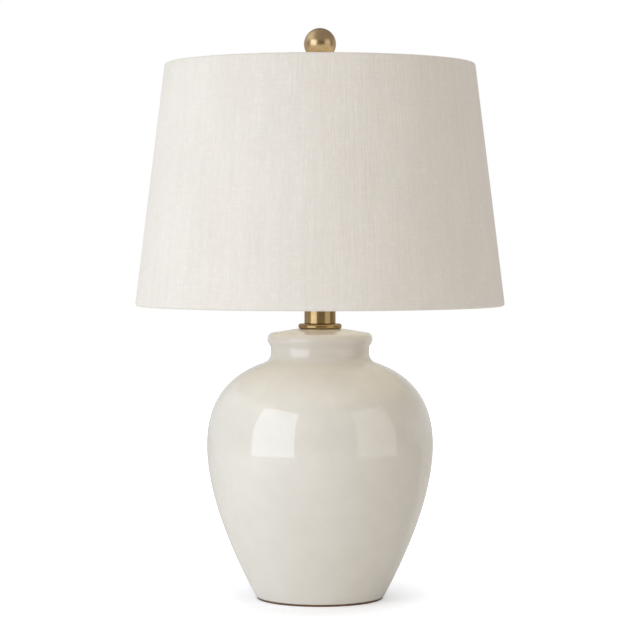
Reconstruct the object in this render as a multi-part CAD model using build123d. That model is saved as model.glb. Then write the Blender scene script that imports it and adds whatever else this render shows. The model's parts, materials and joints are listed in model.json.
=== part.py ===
from build123d import *
from math import atan2, cos, hypot, radians, sin, sqrt, tan
import os

# Ceramic table lamp: a glazed jar, an aged-brass neck, a harp, a linen shade and a ball finial.
# Millimetres, +Z up. The origin is on the table, under the middle of the jar's foot.
# The front of the lamp faces -Y. The harp stands in the XZ plane and the cord leaves at the back, +Y.

# Felt pad and jar. Heights are rises, each counted from the one before it.
FELT_THICKNESS = 2.0
FELT_MARGIN = 1.0
FOOT_RADIUS = 70.2
FOOT_ROUND = 1.5
FOOT_LEAN = 28.8
FOOT_PULL = 76.6
BELLY_RADIUS = 124.1
BELLY_RISE = 166.0
BELLY_PULL_DOWN = 40.6
BELLY_PULL_UP = 42.1
SHOULDER_RISE = 101.1
SHOULDER_SLOPE = 18.6
SHOULDER_PULL = 47.7
NECK_RADIUS = 54.2
NECK_ROOT_CURVE = 11.1
NECK_RISE = 4.9
LIP_OVERHANG = 3.2
LIP_RISE = 11.0
LIP_ROUND = 6.5
DOME_SLOPE = 9.0
JAR_WALL = 6.5
JAR_TOP_THICKNESS = 12.0
FLOOR_HEIGHT = 28.0
FLOOR_THICKNESS = 8.0

# Cord bushing in the back of the foot.
CORD_HOLE_HEIGHT = 13.0
CORD_BORE_RADIUS = 3.5
BUSHING_WALL = 2.0
BUSHING_FLANGE = 2.5
BUSHING_FLANGE_THICKNESS = 2.2
BUSHING_ROUND = 0.7
BUSHING_TAIL = 3.0

# Threaded pipe and the hardware that pulls the lamp together.
PIPE_RADIUS = 5.1
PIPE_BORE_RADIUS = 3.4
PIPE_TAIL = 3.0
NUT_WIDTH = 14.3
NUT_THICKNESS = 4.8
RUBBER_WASHER_RADIUS = 20.0
RUBBER_WASHER_THICKNESS = 2.0
STEEL_WASHER_RADIUS = 17.0
STEEL_WASHER_THICKNESS = 1.6

# Brass neck.
CHECK_RING_RADIUS = 23.7
CHECK_RING_THICKNESS = 5.6
CHECK_RING_ROUND = 2.3
CHECK_RING_SEAT_MARGIN = 1.5
SPIGOT_RADIUS = 11.5
SPIGOT_LENGTH = 9.0
NECK_TUBE_RADIUS = 17.1
NECK_TUBE_WALL = 1.2
NECK_TUBE_LENGTH = 36.5
NECK_TUBE_TOP = 3.0
NECK_TUBE_ROUND = 0.8
NECK_LOCATOR_HEIGHT = 2.0

# Harp saddle and harp.
SADDLE_WIDTH = 11.0
SADDLE_THICKNESS = 1.5
SADDLE_FLAT = 20.0
SADDLE_BEND = 5.0
SADDLE_RISE = 19.5
TONGUE_WIDTH = 3.0
TONGUE_LENGTH = 11.0
HARP_REACH = 33.0
HARP_WIRE_RADIUS = 2.2
HARP_HEIGHT = 209.5
HARP_LEG_STRAIGHT = 32.0
HARP_BOW_RADIUS = 56.0
FERRULE_LENGTH = 14.0
FERRULE_WALL = 1.3
FERRULE_ROUND = 0.4
PAD_RADIUS = 9.0
PAD_THICKNESS = 2.5
CLASP_RADIUS = 5.0
CLASP_LIP = 1.2
STUD_RADIUS = 3.175
STUD_ENGAGEMENT = 11.0
STUD_CHAMFER = 0.6

# Shade: linen over a styrene liner, rolled round two wire rings, on a three-armed spider.
SHADE_TOP_RADIUS = 169.1
SHADE_BOTTOM_RADIUS = 201.9
SHADE_HEIGHT = 263.7
FABRIC_THICKNESS = 0.7
LINER_THICKNESS = 0.5
RING_WIRE_RADIUS = 1.6
HEM_WIDTH = 10.0
HUB_RADIUS = 12.0
HUB_THICKNESS = 3.4
SPIDER_DROP = 10.0
SPIDER_ARMS = 3
ARM_BEND_RUN = 14.0
ARM_BEND = 10.0
ARM_WELD_LAP = 0.2

# Finial.
FINIAL_BALL_RADIUS = 17.5
FINIAL_BASE_HEIGHT = 15.1
FINIAL_FLANGE_RADIUS = 9.0
FINIAL_FLANGE_THICKNESS = 2.4
FINIAL_WAIST_RADIUS = 5.6
FINIAL_CUP_RADIUS = 7.2
FINIAL_SPIGOT_RADIUS = 2.6
FINIAL_SPIGOT_LENGTH = 7.0

# Lamp holder. Its diameters are built outwards from the bulb's screw cap.
HOLDER_HUB_RADIUS = 7.6
HOLDER_HUB_LENGTH = 8.0
HOLDER_DOME_RISE = 11.0
HOLDER_CAP_LIP = 6.0
HOLDER_CAP_WALL = 0.9
HOLDER_CAP_FLOOR = 1.4
HOLDER_SHELL_LENGTH = 41.6
HOLDER_SHELL_WALL = 0.5
HOLDER_SLEEVE_WALL = 0.8
HOLDER_BODY_HEIGHT = 16.6
SCREW_SHELL_WALL = 0.5
SCREW_SHELL_LENGTH = 24.0
CENTRE_CONTACT_RADIUS = 4.0
CENTRE_CONTACT_THICKNESS = 1.6
TERMINAL_HEAD_RADIUS = 2.8
TERMINAL_HEAD_THICKNESS = 1.8
TERMINAL_SHANK_RADIUS = 1.5
TERMINAL_SHANK_LENGTH = 4.0
SET_SCREW_RADIUS = 1.5
SET_SCREW_HEAD_RADIUS = 2.4
SET_SCREW_HEAD_LENGTH = 2.5

# Rotary switch in the lamp holder.
SWITCH_HEIGHT = 8.6
SWITCH_SHAFT_RADIUS = 2.0
SWITCH_SHAFT_DEPTH = 8.0
SWITCH_SLOT_ROOM = 0.8
KNOB_RADIUS = 6.5
KNOB_LENGTH = 13.0
KNOB_STANDOFF = 2.5
KNOB_BORE_DEPTH = 8.0
KNOB_FLUTES = 12
KNOB_FLUTE_RADIUS = 0.9
KNOB_CHAMFER = 0.8

# Bulb with a medium screw cap.
BULB_CAP_RADIUS = 13.0
BULB_CAP_WALL = 0.6
BULB_CAP_LENGTH = 20.5
BULB_INSULATOR_HEIGHT = 4.0
BULB_CONTACT_RADIUS = 4.5
BULB_CONTACT_HEIGHT = 2.0
BULB_RADIUS = 30.0
BULB_LENGTH = 108.0
BULB_GLASS = 1.0
BULB_TURN_IN = 30.0

# Clearances.
FIT_CLEARANCE = 0.2
THREAD_CLEARANCE = 0.06
TURNING_CLEARANCE = 0.08
TONGUE_CLEARANCE = 0.1
SLEEVE_CLEARANCE = 0.3
HEM_CLEARANCE = 0.25
ARM_NOTCH_CLEARANCE = 0.3
BULB_CLEARANCE = 0.3
FINIAL_CLEARANCE = 0.3

# Heights and radii that follow from the sizes above.
JAR_BASE = FELT_THICKNESS
BELLY_Z = JAR_BASE + BELLY_RISE
NECK_ROOT_Z = BELLY_Z + SHOULDER_RISE
LIP_START_Z = NECK_ROOT_Z + NECK_RISE
LIP_Z = LIP_START_Z + LIP_RISE
LIP_RADIUS = NECK_RADIUS + LIP_OVERHANG
SEAT_RADIUS = CHECK_RING_RADIUS + CHECK_RING_SEAT_MARGIN
RIM_END = (
    LIP_RADIUS - LIP_ROUND + LIP_ROUND * sin(radians(DOME_SLOPE)),
    LIP_Z + LIP_ROUND * cos(radians(DOME_SLOPE)),
)
JAR_TOP = RIM_END[1] + (RIM_END[0] - SEAT_RADIUS) * tan(radians(DOME_SLOPE))
FLOOR_Z = JAR_BASE + FLOOR_HEIGHT
BOTTOM_NUT_Z = FLOOR_Z - RUBBER_WASHER_THICKNESS - STEEL_WASHER_THICKNESS - NUT_THICKNESS
NECK_TUBE_Z = JAR_TOP + CHECK_RING_THICKNESS
TOP_NUT_Z = NECK_TUBE_Z + NECK_TUBE_LENGTH
SADDLE_Z = TOP_NUT_Z + NUT_THICKNESS
HOLDER_Z = SADDLE_Z + SADDLE_THICKNESS
LIP_OF_CAP_Z = HOLDER_Z + HOLDER_HUB_LENGTH + HOLDER_DOME_RISE
BODY_TOP_Z = LIP_OF_CAP_Z + HOLDER_BODY_HEIGHT
SWITCH_Z = LIP_OF_CAP_Z + SWITCH_HEIGHT
BULB_Z = BODY_TOP_Z + CENTRE_CONTACT_THICKNESS + FIT_CLEARANCE
BULB_CAP_Z = BULB_Z + BULB_CONTACT_HEIGHT + BULB_INSULATOR_HEIGHT
BULB_GLASS_Z = BULB_CAP_Z + BULB_CAP_LENGTH
BULB_CENTRE_Z = BULB_Z + BULB_LENGTH - BULB_RADIUS
SADDLE_SHOULDER_Z = SADDLE_Z + SADDLE_RISE
PAD_TOP_Z = SADDLE_SHOULDER_Z + HARP_HEIGHT
BOW_TOP_Z = PAD_TOP_Z - PAD_THICKNESS - HARP_WIRE_RADIUS - CLASP_LIP
HUB_TOP_Z = PAD_TOP_Z + HUB_THICKNESS
SHADE_TOP_Z = HUB_TOP_Z + SPIDER_DROP
SHADE_BOTTOM_Z = SHADE_TOP_Z - SHADE_HEIGHT
FINIAL_Z = HUB_TOP_Z + FINIAL_CLEARANCE
FINIAL_RIM_Z = FINIAL_Z + FINIAL_BASE_HEIGHT
BALL_Z = FINIAL_RIM_Z + sqrt(FINIAL_BALL_RADIUS**2 - FINIAL_CUP_RADIUS**2)

PIPE_HOLE = PIPE_RADIUS + FIT_CLEARANCE
THREADED_HOLE = PIPE_RADIUS + THREAD_CLEARANCE
SPIGOT_HOLE = SPIGOT_RADIUS + FIT_CLEARANCE
BUSHING_RADIUS = CORD_BORE_RADIUS + BUSHING_WALL
SCREW_SHELL_INNER = BULB_CAP_RADIUS + BULB_CLEARANCE
SCREW_SHELL_OUTER = SCREW_SHELL_INNER + SCREW_SHELL_WALL
SLEEVE_INNER = SCREW_SHELL_OUTER + FIT_CLEARANCE
SLEEVE_OUTER = SLEEVE_INNER + HOLDER_SLEEVE_WALL
SHELL_INNER = SLEEVE_OUTER + FIT_CLEARANCE
SHELL_OUTER = SHELL_INNER + HOLDER_SHELL_WALL
CAP_INNER = SHELL_OUTER + FIT_CLEARANCE
CAP_OUTER = CAP_INNER + HOLDER_CAP_WALL
BODY_RADIUS = SCREW_SHELL_OUTER
TONGUE_CORNER = hypot(SADDLE_THICKNESS + TONGUE_CLEARANCE, TONGUE_WIDTH / 2)
FERRULE_INNER = max(HARP_WIRE_RADIUS, TONGUE_CORNER) + SLEEVE_CLEARANCE

SHADE_LEAN = atan2(SHADE_BOTTOM_RADIUS - SHADE_TOP_RADIUS, SHADE_HEIGHT)
SHADE_SLANT = hypot(SHADE_BOTTOM_RADIUS - SHADE_TOP_RADIUS, SHADE_HEIGHT)
HEM_THICKNESS = 2 * (FABRIC_THICKNESS + RING_WIRE_RADIUS + HEM_CLEARANCE) + LINER_THICKNESS
HEM_FOLD = HEM_THICKNESS / 2
RING_DEPTH = FABRIC_THICKNESS + LINER_THICKNESS + HEM_CLEARANCE + RING_WIRE_RADIUS
ARM_RADIUS = RING_WIRE_RADIUS - ARM_WELD_LAP

STAND = (Align.CENTER, Align.CENTER, Align.MIN)


# Plain shapes

def turned(edges):
    """A solid of revolution about Z from edges that close a profile of (radius, height) points."""
    return revolve(Plane.XZ * make_face(edges), Axis.Z)


def turned_points(*points):
    """A solid of revolution about Z from the straight-sided profile through (radius, height) points."""
    return turned(Polyline(*points, close=True).edges())


def disc(radius, low, high):
    """A round disc or rod on the Z axis between two heights."""
    return Pos(0, 0, low) * Cylinder(radius, high - low, align=STAND)


def tube(inner, outer, low, high):
    """A round tube or washer on the Z axis between two heights."""
    return disc(outer, low, high) - disc(inner, low, high)


def hex_nut(low):
    """A hexagon nut on the pipe, with the corners of both faces turned off."""
    high = low + NUT_THICKNESS
    blank = Pos(0, 0, low) * extrude(RegularPolygon(NUT_WIDTH / 2, 6, major_radius=False), NUT_THICKNESS)
    corner = NUT_WIDTH / sqrt(3)
    bevel = (corner - NUT_WIDTH / 2) / 2
    turned_blank = turned_points(
        (0, low),
        (NUT_WIDTH / 2, low),
        (corner, low + bevel),
        (corner, high - bevel),
        (NUT_WIDTH / 2, high),
        (0, high),
    )
    return (blank & turned_blank) - disc(THREADED_HOLE, low, high)


# Jar and felt

def flank(inset):
    """The wall's curve from the foot to the belly, moved inwards by a wall thickness."""
    lean = radians(FOOT_LEAN)
    foot = (FOOT_RADIUS - inset / cos(lean), JAR_BASE)
    belly = (BELLY_RADIUS - inset, BELLY_Z)
    foot_handle = (foot[0] + FOOT_PULL * sin(lean), foot[1] + FOOT_PULL * cos(lean))
    return Bezier(foot, foot_handle, (belly[0], belly[1] - BELLY_PULL_DOWN), belly)


def shoulder(inset):
    """The wall's curve from the belly to the root of the neck, moved inwards by a wall thickness."""
    slope = radians(SHOULDER_SLOPE)
    belly = (BELLY_RADIUS - inset, BELLY_Z)
    end = (
        NECK_RADIUS + NECK_ROOT_CURVE * (1 - sin(slope)) - inset * sin(slope),
        NECK_ROOT_Z - NECK_ROOT_CURVE * cos(slope) - inset * cos(slope),
    )
    end_handle = (end[0] + SHOULDER_PULL * cos(slope), end[1] - SHOULDER_PULL * sin(slope))
    return Bezier(belly, (belly[0], belly[1] + BELLY_PULL_UP), end_handle, end)


def jar_outside():
    """The jar's outer form as a full solid."""
    low, high = flank(0), shoulder(0)
    slope = radians(SHOULDER_SLOPE)
    lip_middle = (LIP_START_Z + LIP_Z) / 2
    root = (NECK_RADIUS, NECK_ROOT_Z)
    lip_start = (NECK_RADIUS, LIP_START_Z)
    lip = (LIP_RADIUS, LIP_Z)
    seat = (SEAT_RADIUS, JAR_TOP)
    return turned(
        [
            Line((0, JAR_BASE), low @ 0),
            low,
            high,
            TangentArc(high @ 1, root, tangent=(-cos(slope), sin(slope))),
            Line(root, lip_start),
            Bezier(lip_start, (NECK_RADIUS, lip_middle), (LIP_RADIUS, lip_middle), lip),
            TangentArc(lip, RIM_END, tangent=(0, 1)),
            Line(RIM_END, seat),
            Line(seat, (0, JAR_TOP)),
            Line((0, JAR_TOP), (0, JAR_BASE)),
        ]
    )


def jar_inside():
    """The space inside the jar's wall, from the table to the underside of its closed top."""
    low, high = flank(JAR_WALL), shoulder(JAR_WALL)
    end = high @ 1
    neck = NECK_RADIUS - JAR_WALL
    neck_start = (neck, end.Y + (end.X - neck) * tan(radians(SHOULDER_SLOPE)))
    ceiling = JAR_TOP - JAR_TOP_THICKNESS
    return turned(
        [
            Line((0, JAR_BASE), low @ 0),
            low,
            high,
            Line(end, neck_start),
            Line(neck_start, (neck, ceiling)),
            Line((neck, ceiling), (0, ceiling)),
            Line((0, ceiling), (0, JAR_BASE)),
        ]
    )


def cord_hole_plane():
    """A plane on the back of the foot, square to the wall, with its normal pointing out of the jar."""
    wall = flank(0)
    low, high = 0.0, 1.0
    while high - low > 1e-9:
        middle = (low + high) / 2
        if (wall @ middle).Y < JAR_BASE + CORD_HOLE_HEIGHT:
            low = middle
        else:
            high = middle
    point, along = wall @ low, wall % low
    return Plane(origin=(0, point.X, point.Y), x_dir=(1, 0, 0), z_dir=(0, along.Y, -along.X))


def ceramic_jar():
    floor = disc(BELLY_RADIUS, FLOOR_Z, FLOOR_Z + FLOOR_THICKNESS)
    outside = jar_outside()
    foot_edge = outside.edges().filter_by(GeomType.CIRCLE).sort_by(Axis.Z)[0]
    jar = fillet(foot_edge, FOOT_ROUND) - (jar_inside() - floor)
    jar -= disc(SPIGOT_HOLE, JAR_TOP - 2 * JAR_TOP_THICKNESS, JAR_TOP)
    jar -= disc(PIPE_HOLE, FLOOR_Z, FLOOR_Z + FLOOR_THICKNESS)
    drill = Cylinder(BUSHING_RADIUS + FIT_CLEARANCE, 4 * JAR_WALL)
    return jar - cord_hole_plane() * drill


def felt_pad():
    return disc(FOOT_RADIUS - FELT_MARGIN, 0, FELT_THICKNESS)


def cord_bushing(jar):
    """A flanged sleeve through the wall; the back of its flange follows the round of the jar."""
    flange_radius = BUSHING_RADIUS + BUSHING_FLANGE
    flange = Pos(0, 0, -JAR_WALL / 4) * Cylinder(
        flange_radius, JAR_WALL / 4 + BUSHING_FLANGE_THICKNESS, align=STAND
    )
    flange = fillet(flange.edges().sort_by(Axis.Z)[-1], BUSHING_ROUND)
    length = JAR_WALL + BUSHING_TAIL
    sleeve = Pos(0, 0, -length) * Cylinder(BUSHING_RADIUS, length, align=STAND)
    bore = Cylinder(CORD_BORE_RADIUS, 4 * length)
    return cord_hole_plane() * (flange + sleeve - bore) - jar


# Pipe and hardware

def lamp_pipe():
    return tube(PIPE_BORE_RADIUS, PIPE_RADIUS, BOTTOM_NUT_Z - PIPE_TAIL, HOLDER_Z + HOLDER_HUB_LENGTH)


def rubber_washer():
    return tube(PIPE_HOLE, RUBBER_WASHER_RADIUS, FLOOR_Z - RUBBER_WASHER_THICKNESS, FLOOR_Z)


def steel_washer():
    top = FLOOR_Z - RUBBER_WASHER_THICKNESS
    return tube(PIPE_HOLE, STEEL_WASHER_RADIUS, top - STEEL_WASHER_THICKNESS, top)


# Brass neck

def check_ring():
    """The round-edged collar on the jar: a spigot centres it, and a raised step centres the neck tube."""
    collar = disc(CHECK_RING_RADIUS, JAR_TOP, NECK_TUBE_Z)
    collar = fillet(collar.edges().filter_by(GeomType.CIRCLE), CHECK_RING_ROUND)
    spigot = disc(SPIGOT_RADIUS, JAR_TOP - SPIGOT_LENGTH, JAR_TOP)
    step_radius = NECK_TUBE_RADIUS - NECK_TUBE_WALL - FIT_CLEARANCE
    step = disc(step_radius, NECK_TUBE_Z, NECK_TUBE_Z + NECK_LOCATOR_HEIGHT)
    bore = disc(PIPE_HOLE, JAR_TOP - SPIGOT_LENGTH, NECK_TUBE_Z + NECK_LOCATOR_HEIGHT)
    return collar + spigot + step - bore


def neck_tube():
    """The plain brass sleeve above the collar, closed at the top where the nut bears."""
    blank = disc(NECK_TUBE_RADIUS, NECK_TUBE_Z, TOP_NUT_Z)
    blank = fillet(blank.edges().filter_by(GeomType.CIRCLE).sort_by(Axis.Z)[-1], NECK_TUBE_ROUND)
    hollow = disc(NECK_TUBE_RADIUS - NECK_TUBE_WALL, NECK_TUBE_Z, TOP_NUT_Z - NECK_TUBE_TOP)
    return blank - hollow - disc(PIPE_HOLE, NECK_TUBE_Z, TOP_NUT_Z)


# Harp saddle and harp

def harp_saddle():
    """A bent steel strip whose two ends narrow to tongues that the harp's legs lap against."""
    tongue_x = HARP_REACH - TONGUE_CLEARANCE
    middle_z = SADDLE_Z + SADDLE_THICKNESS / 2
    top_z = SADDLE_SHOULDER_Z + TONGUE_LENGTH
    strip_x = tongue_x - SADDLE_THICKNESS / 2
    knee_z = SADDLE_SHOULDER_Z - SADDLE_BEND
    half = FilletPolyline(
        (0, middle_z), (SADDLE_FLAT, middle_z), (strip_x, knee_z), (strip_x, top_z), radius=SADDLE_BEND
    )
    right = offset_strip(half, SADDLE_THICKNESS / 2, SADDLE_WIDTH)
    trim = Pos(tongue_x, 0, SADDLE_SHOULDER_Z) * Box(
        SADDLE_BEND * 2, SADDLE_WIDTH, TONGUE_LENGTH, align=STAND
    )
    trim -= Pos(tongue_x, 0, SADDLE_SHOULDER_Z) * Box(
        SADDLE_BEND * 2, TONGUE_WIDTH, TONGUE_LENGTH, align=STAND
    )
    right -= trim
    return right + mirror(right, Plane.YZ) - disc(PIPE_HOLE, SADDLE_Z, HOLDER_Z)


def offset_strip(path, half_thickness, width):
    """A strip of metal along a path in the XZ plane, of even thickness and width."""
    outline = trace(path, 2 * half_thickness)
    return extrude(Plane.XZ * outline, width / 2, both=True)


def harp_path():
    """The harp's centre line in the XZ plane: straight legs, a swelling S on each side and a round bow."""
    leg_top = SADDLE_SHOULDER_Z + HARP_LEG_STRAIGHT
    bow_z = BOW_TOP_Z - HARP_BOW_RADIUS
    foot, knee = (HARP_REACH, SADDLE_SHOULDER_Z), (HARP_REACH, leg_top)
    side = (HARP_BOW_RADIUS, bow_z)
    middle = ((knee[0] + side[0]) / 2, (knee[1] + side[1]) / 2)
    lower = TangentArc(knee, middle, tangent=(0, 1))
    upper = TangentArc(middle, side, tangent=lower % 1)
    right = [Line(foot, knee), lower, upper]
    left = [mirror(edge, Plane.YZ).edge() for edge in reversed(right)]
    bow = ThreePointArc(side, (0, BOW_TOP_Z), (-side[0], bow_z))
    return Plane.XZ * Wire(right + [bow] + left)


def harp_bow():
    """The bent wire. The inner half of each leg's end is cut away where the saddle's tongue laps it."""
    path = harp_path()
    wire = sweep(Plane(path @ 0, z_dir=path % 0) * Circle(HARP_WIRE_RADIUS), path)
    for side in (-1, 1):
        notch = Pos(side * HARP_REACH, 0, SADDLE_SHOULDER_Z) * Box(
            HARP_WIRE_RADIUS * 2,
            HARP_WIRE_RADIUS * 4,
            TONGUE_LENGTH + FIT_CLEARANCE,
            align=(Align.MAX if side > 0 else Align.MIN, Align.CENTER, Align.MIN),
        )
        wire -= notch
    return wire


def harp_stud(bow):
    """The clasp on top of the bow, with the pad that carries the shade and the stud that holds the finial."""
    clasp_z = BOW_TOP_Z - HARP_WIRE_RADIUS - CLASP_LIP
    stud_top = HUB_TOP_Z + STUD_ENGAGEMENT
    clasp = disc(CLASP_RADIUS, clasp_z, PAD_TOP_Z - PAD_THICKNESS)
    pad = disc(PAD_RADIUS, PAD_TOP_Z - PAD_THICKNESS, PAD_TOP_Z)
    stud = disc(STUD_RADIUS, PAD_TOP_Z, stud_top)
    stud = chamfer(stud.edges().filter_by(GeomType.CIRCLE).sort_by(Axis.Z)[-1], STUD_CHAMFER)
    return clasp + pad + stud - bow


def ferrule(side):
    """The locking sleeve on one leg of the harp."""
    low = SADDLE_SHOULDER_Z + FIT_CLEARANCE
    sleeve = tube(FERRULE_INNER, FERRULE_INNER + FERRULE_WALL, low, low + FERRULE_LENGTH)
    outer = sleeve.edges().filter_by(GeomType.CIRCLE).sort_by(SortBy.RADIUS)[-2:]
    return Pos(side * HARP_REACH, 0, 0) * fillet(outer, FERRULE_ROUND)


# Shade

def on_slant(depth, along):
    """The (radius, height) of a point at a depth inside the shade's face and a distance up its slant."""
    return (
        SHADE_BOTTOM_RADIUS - along * sin(SHADE_LEAN) - depth * cos(SHADE_LEAN),
        SHADE_BOTTOM_Z + along * cos(SHADE_LEAN) - depth * sin(SHADE_LEAN),
    )


def shade_fabric(arms):
    """The linen: one sheet, rolled inwards round the rings at both edges, notched round the spider's arms."""
    inner, outer = FABRIC_THICKNESS, 0
    back, back_inner = HEM_THICKNESS, HEM_THICKNESS - FABRIC_THICKNESS
    low, high = HEM_FOLD, SHADE_SLANT - HEM_FOLD
    low_hem, high_hem = HEM_WIDTH, SHADE_SLANT - HEM_WIDTH
    fold_bottom = on_slant(HEM_FOLD, FABRIC_THICKNESS)
    fold_top = on_slant(HEM_FOLD, SHADE_SLANT - FABRIC_THICKNESS)
    sheet = turned(
        [
            Line(on_slant(outer, low), on_slant(outer, high)),
            ThreePointArc(on_slant(outer, high), on_slant(HEM_FOLD, SHADE_SLANT), on_slant(back, high)),
            Line(on_slant(back, high), on_slant(back, high_hem)),
            Line(on_slant(back, high_hem), on_slant(back_inner, high_hem)),
            Line(on_slant(back_inner, high_hem), on_slant(back_inner, high)),
            ThreePointArc(on_slant(back_inner, high), fold_top, on_slant(inner, high)),
            Line(on_slant(inner, high), on_slant(inner, low)),
            ThreePointArc(on_slant(inner, low), fold_bottom, on_slant(back_inner, low)),
            Line(on_slant(back_inner, low), on_slant(back_inner, low_hem)),
            Line(on_slant(back_inner, low_hem), on_slant(back, low_hem)),
            Line(on_slant(back, low_hem), on_slant(back, low)),
            ThreePointArc(on_slant(back, low), on_slant(HEM_FOLD, 0), on_slant(outer, low)),
        ]
    )
    return sheet - arms


def shade_liner():
    """The stiff styrene cone that the linen is laminated to."""
    near, far = FABRIC_THICKNESS, FABRIC_THICKNESS + LINER_THICKNESS
    low, high = HEM_FOLD, SHADE_SLANT - HEM_FOLD
    return turned_points(on_slant(near, low), on_slant(near, high), on_slant(far, high), on_slant(far, low))


def shade_ring(along):
    """A wire ring inside a rolled edge of the shade."""
    radius, height = on_slant(RING_DEPTH, along)
    return Pos(0, 0, height) * Torus(radius, RING_WIRE_RADIUS)


def spider_arms(wire_radius):
    """Bent wires from inside the hub out to the top ring, one at the back and the others evenly round."""
    ring_radius, ring_z = on_slant(RING_DEPTH, SHADE_SLANT - HEM_FOLD)
    hub_z = HUB_TOP_Z - HUB_THICKNESS / 2
    path = Plane.XZ * FilletPolyline(
        (HUB_RADIUS / 2, hub_z), (ring_radius - ARM_BEND_RUN, hub_z), (ring_radius, ring_z), radius=ARM_BEND
    )
    arm = sweep(Plane(path @ 0, z_dir=path % 0) * Circle(wire_radius), path)
    turns = [90 + 360 / SPIDER_ARMS * number for number in range(SPIDER_ARMS)]
    return Compound([Rot(0, 0, turn) * arm for turn in turns])


def spider_hub():
    return tube(STUD_RADIUS + TURNING_CLEARANCE, HUB_RADIUS, HUB_TOP_Z - HUB_THICKNESS, HUB_TOP_Z)


# Finial

def ball(radius):
    return Pos(0, 0, BALL_Z) * Sphere(radius)


def finial_base():
    """A turned brass foot with a waist and a cup for the ball, bored for the harp's stud."""
    flange_top = FINIAL_Z + FINIAL_FLANGE_THICKNESS
    waist_z = (flange_top + FINIAL_RIM_Z) / 2
    flange = (FINIAL_FLANGE_RADIUS, flange_top)
    cup = (FINIAL_CUP_RADIUS, FINIAL_RIM_Z)
    foot = turned(
        [
            Line((0, FINIAL_Z), (FINIAL_FLANGE_RADIUS, FINIAL_Z)),
            Line((FINIAL_FLANGE_RADIUS, FINIAL_Z), flange),
            ThreePointArc(flange, (FINIAL_WAIST_RADIUS, waist_z), cup),
            Line(cup, (0, FINIAL_RIM_Z)),
            Line((0, FINIAL_RIM_Z), (0, FINIAL_Z)),
        ]
    )
    spigot_top = BALL_Z - FINIAL_BALL_RADIUS + FINIAL_SPIGOT_LENGTH
    spigot = disc(FINIAL_SPIGOT_RADIUS, FINIAL_Z, spigot_top)
    bore = disc(STUD_RADIUS + TURNING_CLEARANCE, FINIAL_Z, HUB_TOP_Z + STUD_ENGAGEMENT + FIT_CLEARANCE)
    return foot - ball(FINIAL_BALL_RADIUS) + spigot - bore


def finial_ball():
    return ball(FINIAL_BALL_RADIUS) - disc(
        FINIAL_SPIGOT_RADIUS, FINIAL_Z, BALL_Z - FINIAL_BALL_RADIUS + FINIAL_SPIGOT_LENGTH
    )


# Lamp holder

def holder_cap():
    """The lower half of the lamp holder's brass case, screwed to the pipe."""
    hub_top = HOLDER_Z + HOLDER_HUB_LENGTH
    lip_top = LIP_OF_CAP_Z + HOLDER_CAP_LIP
    return turned_points(
        (THREADED_HOLE, HOLDER_Z),
        (HOLDER_HUB_RADIUS, HOLDER_Z),
        (HOLDER_HUB_RADIUS, hub_top),
        (CAP_OUTER, LIP_OF_CAP_Z),
        (CAP_OUTER, lip_top),
        (CAP_INNER, lip_top),
        (CAP_INNER, LIP_OF_CAP_Z),
        (HOLDER_HUB_RADIUS, hub_top + HOLDER_CAP_FLOOR),
        (THREADED_HOLE, hub_top + HOLDER_CAP_FLOOR),
    ) - set_screw_hole()


def set_screw_plane():
    """Where the set screw meets the pipe, pointing out towards the back."""
    return Plane(origin=(0, PIPE_RADIUS, HOLDER_Z + HOLDER_HUB_LENGTH / 2), x_dir=(1, 0, 0), z_dir=(0, 1, 0))


def set_screw_hole():
    return set_screw_plane() * Cylinder(SET_SCREW_RADIUS, HOLDER_HUB_RADIUS, align=STAND)


def set_screw():
    """The small screw that stops the lamp holder turning on its pipe."""
    shank = HOLDER_HUB_RADIUS - PIPE_RADIUS + FIT_CLEARANCE
    screw = Pos(0, 0, THREAD_CLEARANCE) * Cylinder(SET_SCREW_RADIUS, shank, align=STAND)
    screw += Pos(0, 0, shank) * Cylinder(SET_SCREW_HEAD_RADIUS, SET_SCREW_HEAD_LENGTH, align=STAND)
    return set_screw_plane() * screw


def switch_slot(low):
    """The gap that lets the switch's shaft pass through the case, open at its lower end."""
    width = 2 * (SWITCH_SHAFT_RADIUS + SWITCH_SLOT_ROOM)
    height = SWITCH_Z + width / 2 - low
    return Pos(0, 0, low) * Box(width, 2 * CAP_OUTER, height, align=(Align.CENTER, Align.MAX, Align.MIN))


def holder_shell():
    """The upper half of the case, with a rolled mouth and a slot for the switch."""
    low = LIP_OF_CAP_Z + FIT_CLEARANCE
    high = LIP_OF_CAP_Z + HOLDER_SHELL_LENGTH
    bead = Pos(0, 0, high - HOLDER_SHELL_WALL) * Torus(SHELL_OUTER, HOLDER_SHELL_WALL)
    return tube(SHELL_INNER, SHELL_OUTER, low, high) + bead - switch_slot(low)


def holder_sleeve():
    """The card sleeve that insulates the case from the live screw shell."""
    low = LIP_OF_CAP_Z + 2 * FIT_CLEARANCE
    high = BODY_TOP_Z + SCREW_SHELL_LENGTH
    return tube(SLEEVE_INNER, SLEEVE_OUTER, low, high) - switch_slot(low)


def terminal_planes():
    """The two sides of the moulded body where the wires are clamped."""
    height = (LIP_OF_CAP_Z + BODY_TOP_Z) / 2
    return [
        Plane(origin=(side * BODY_RADIUS, 0, height), x_dir=(0, 1, 0), z_dir=(side, 0, 0))
        for side in (-1, 1)
    ]


def terminal_screw(radius, head_radius):
    """A terminal screw whose head lies just under the body's side."""
    head = Pos(0, 0, -TERMINAL_HEAD_THICKNESS) * Cylinder(head_radius, TERMINAL_HEAD_THICKNESS, align=STAND)
    shank_z = -TERMINAL_HEAD_THICKNESS - TERMINAL_SHANK_LENGTH
    return head + Pos(0, 0, shank_z) * Cylinder(radius, TERMINAL_SHANK_LENGTH, align=STAND)


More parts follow.
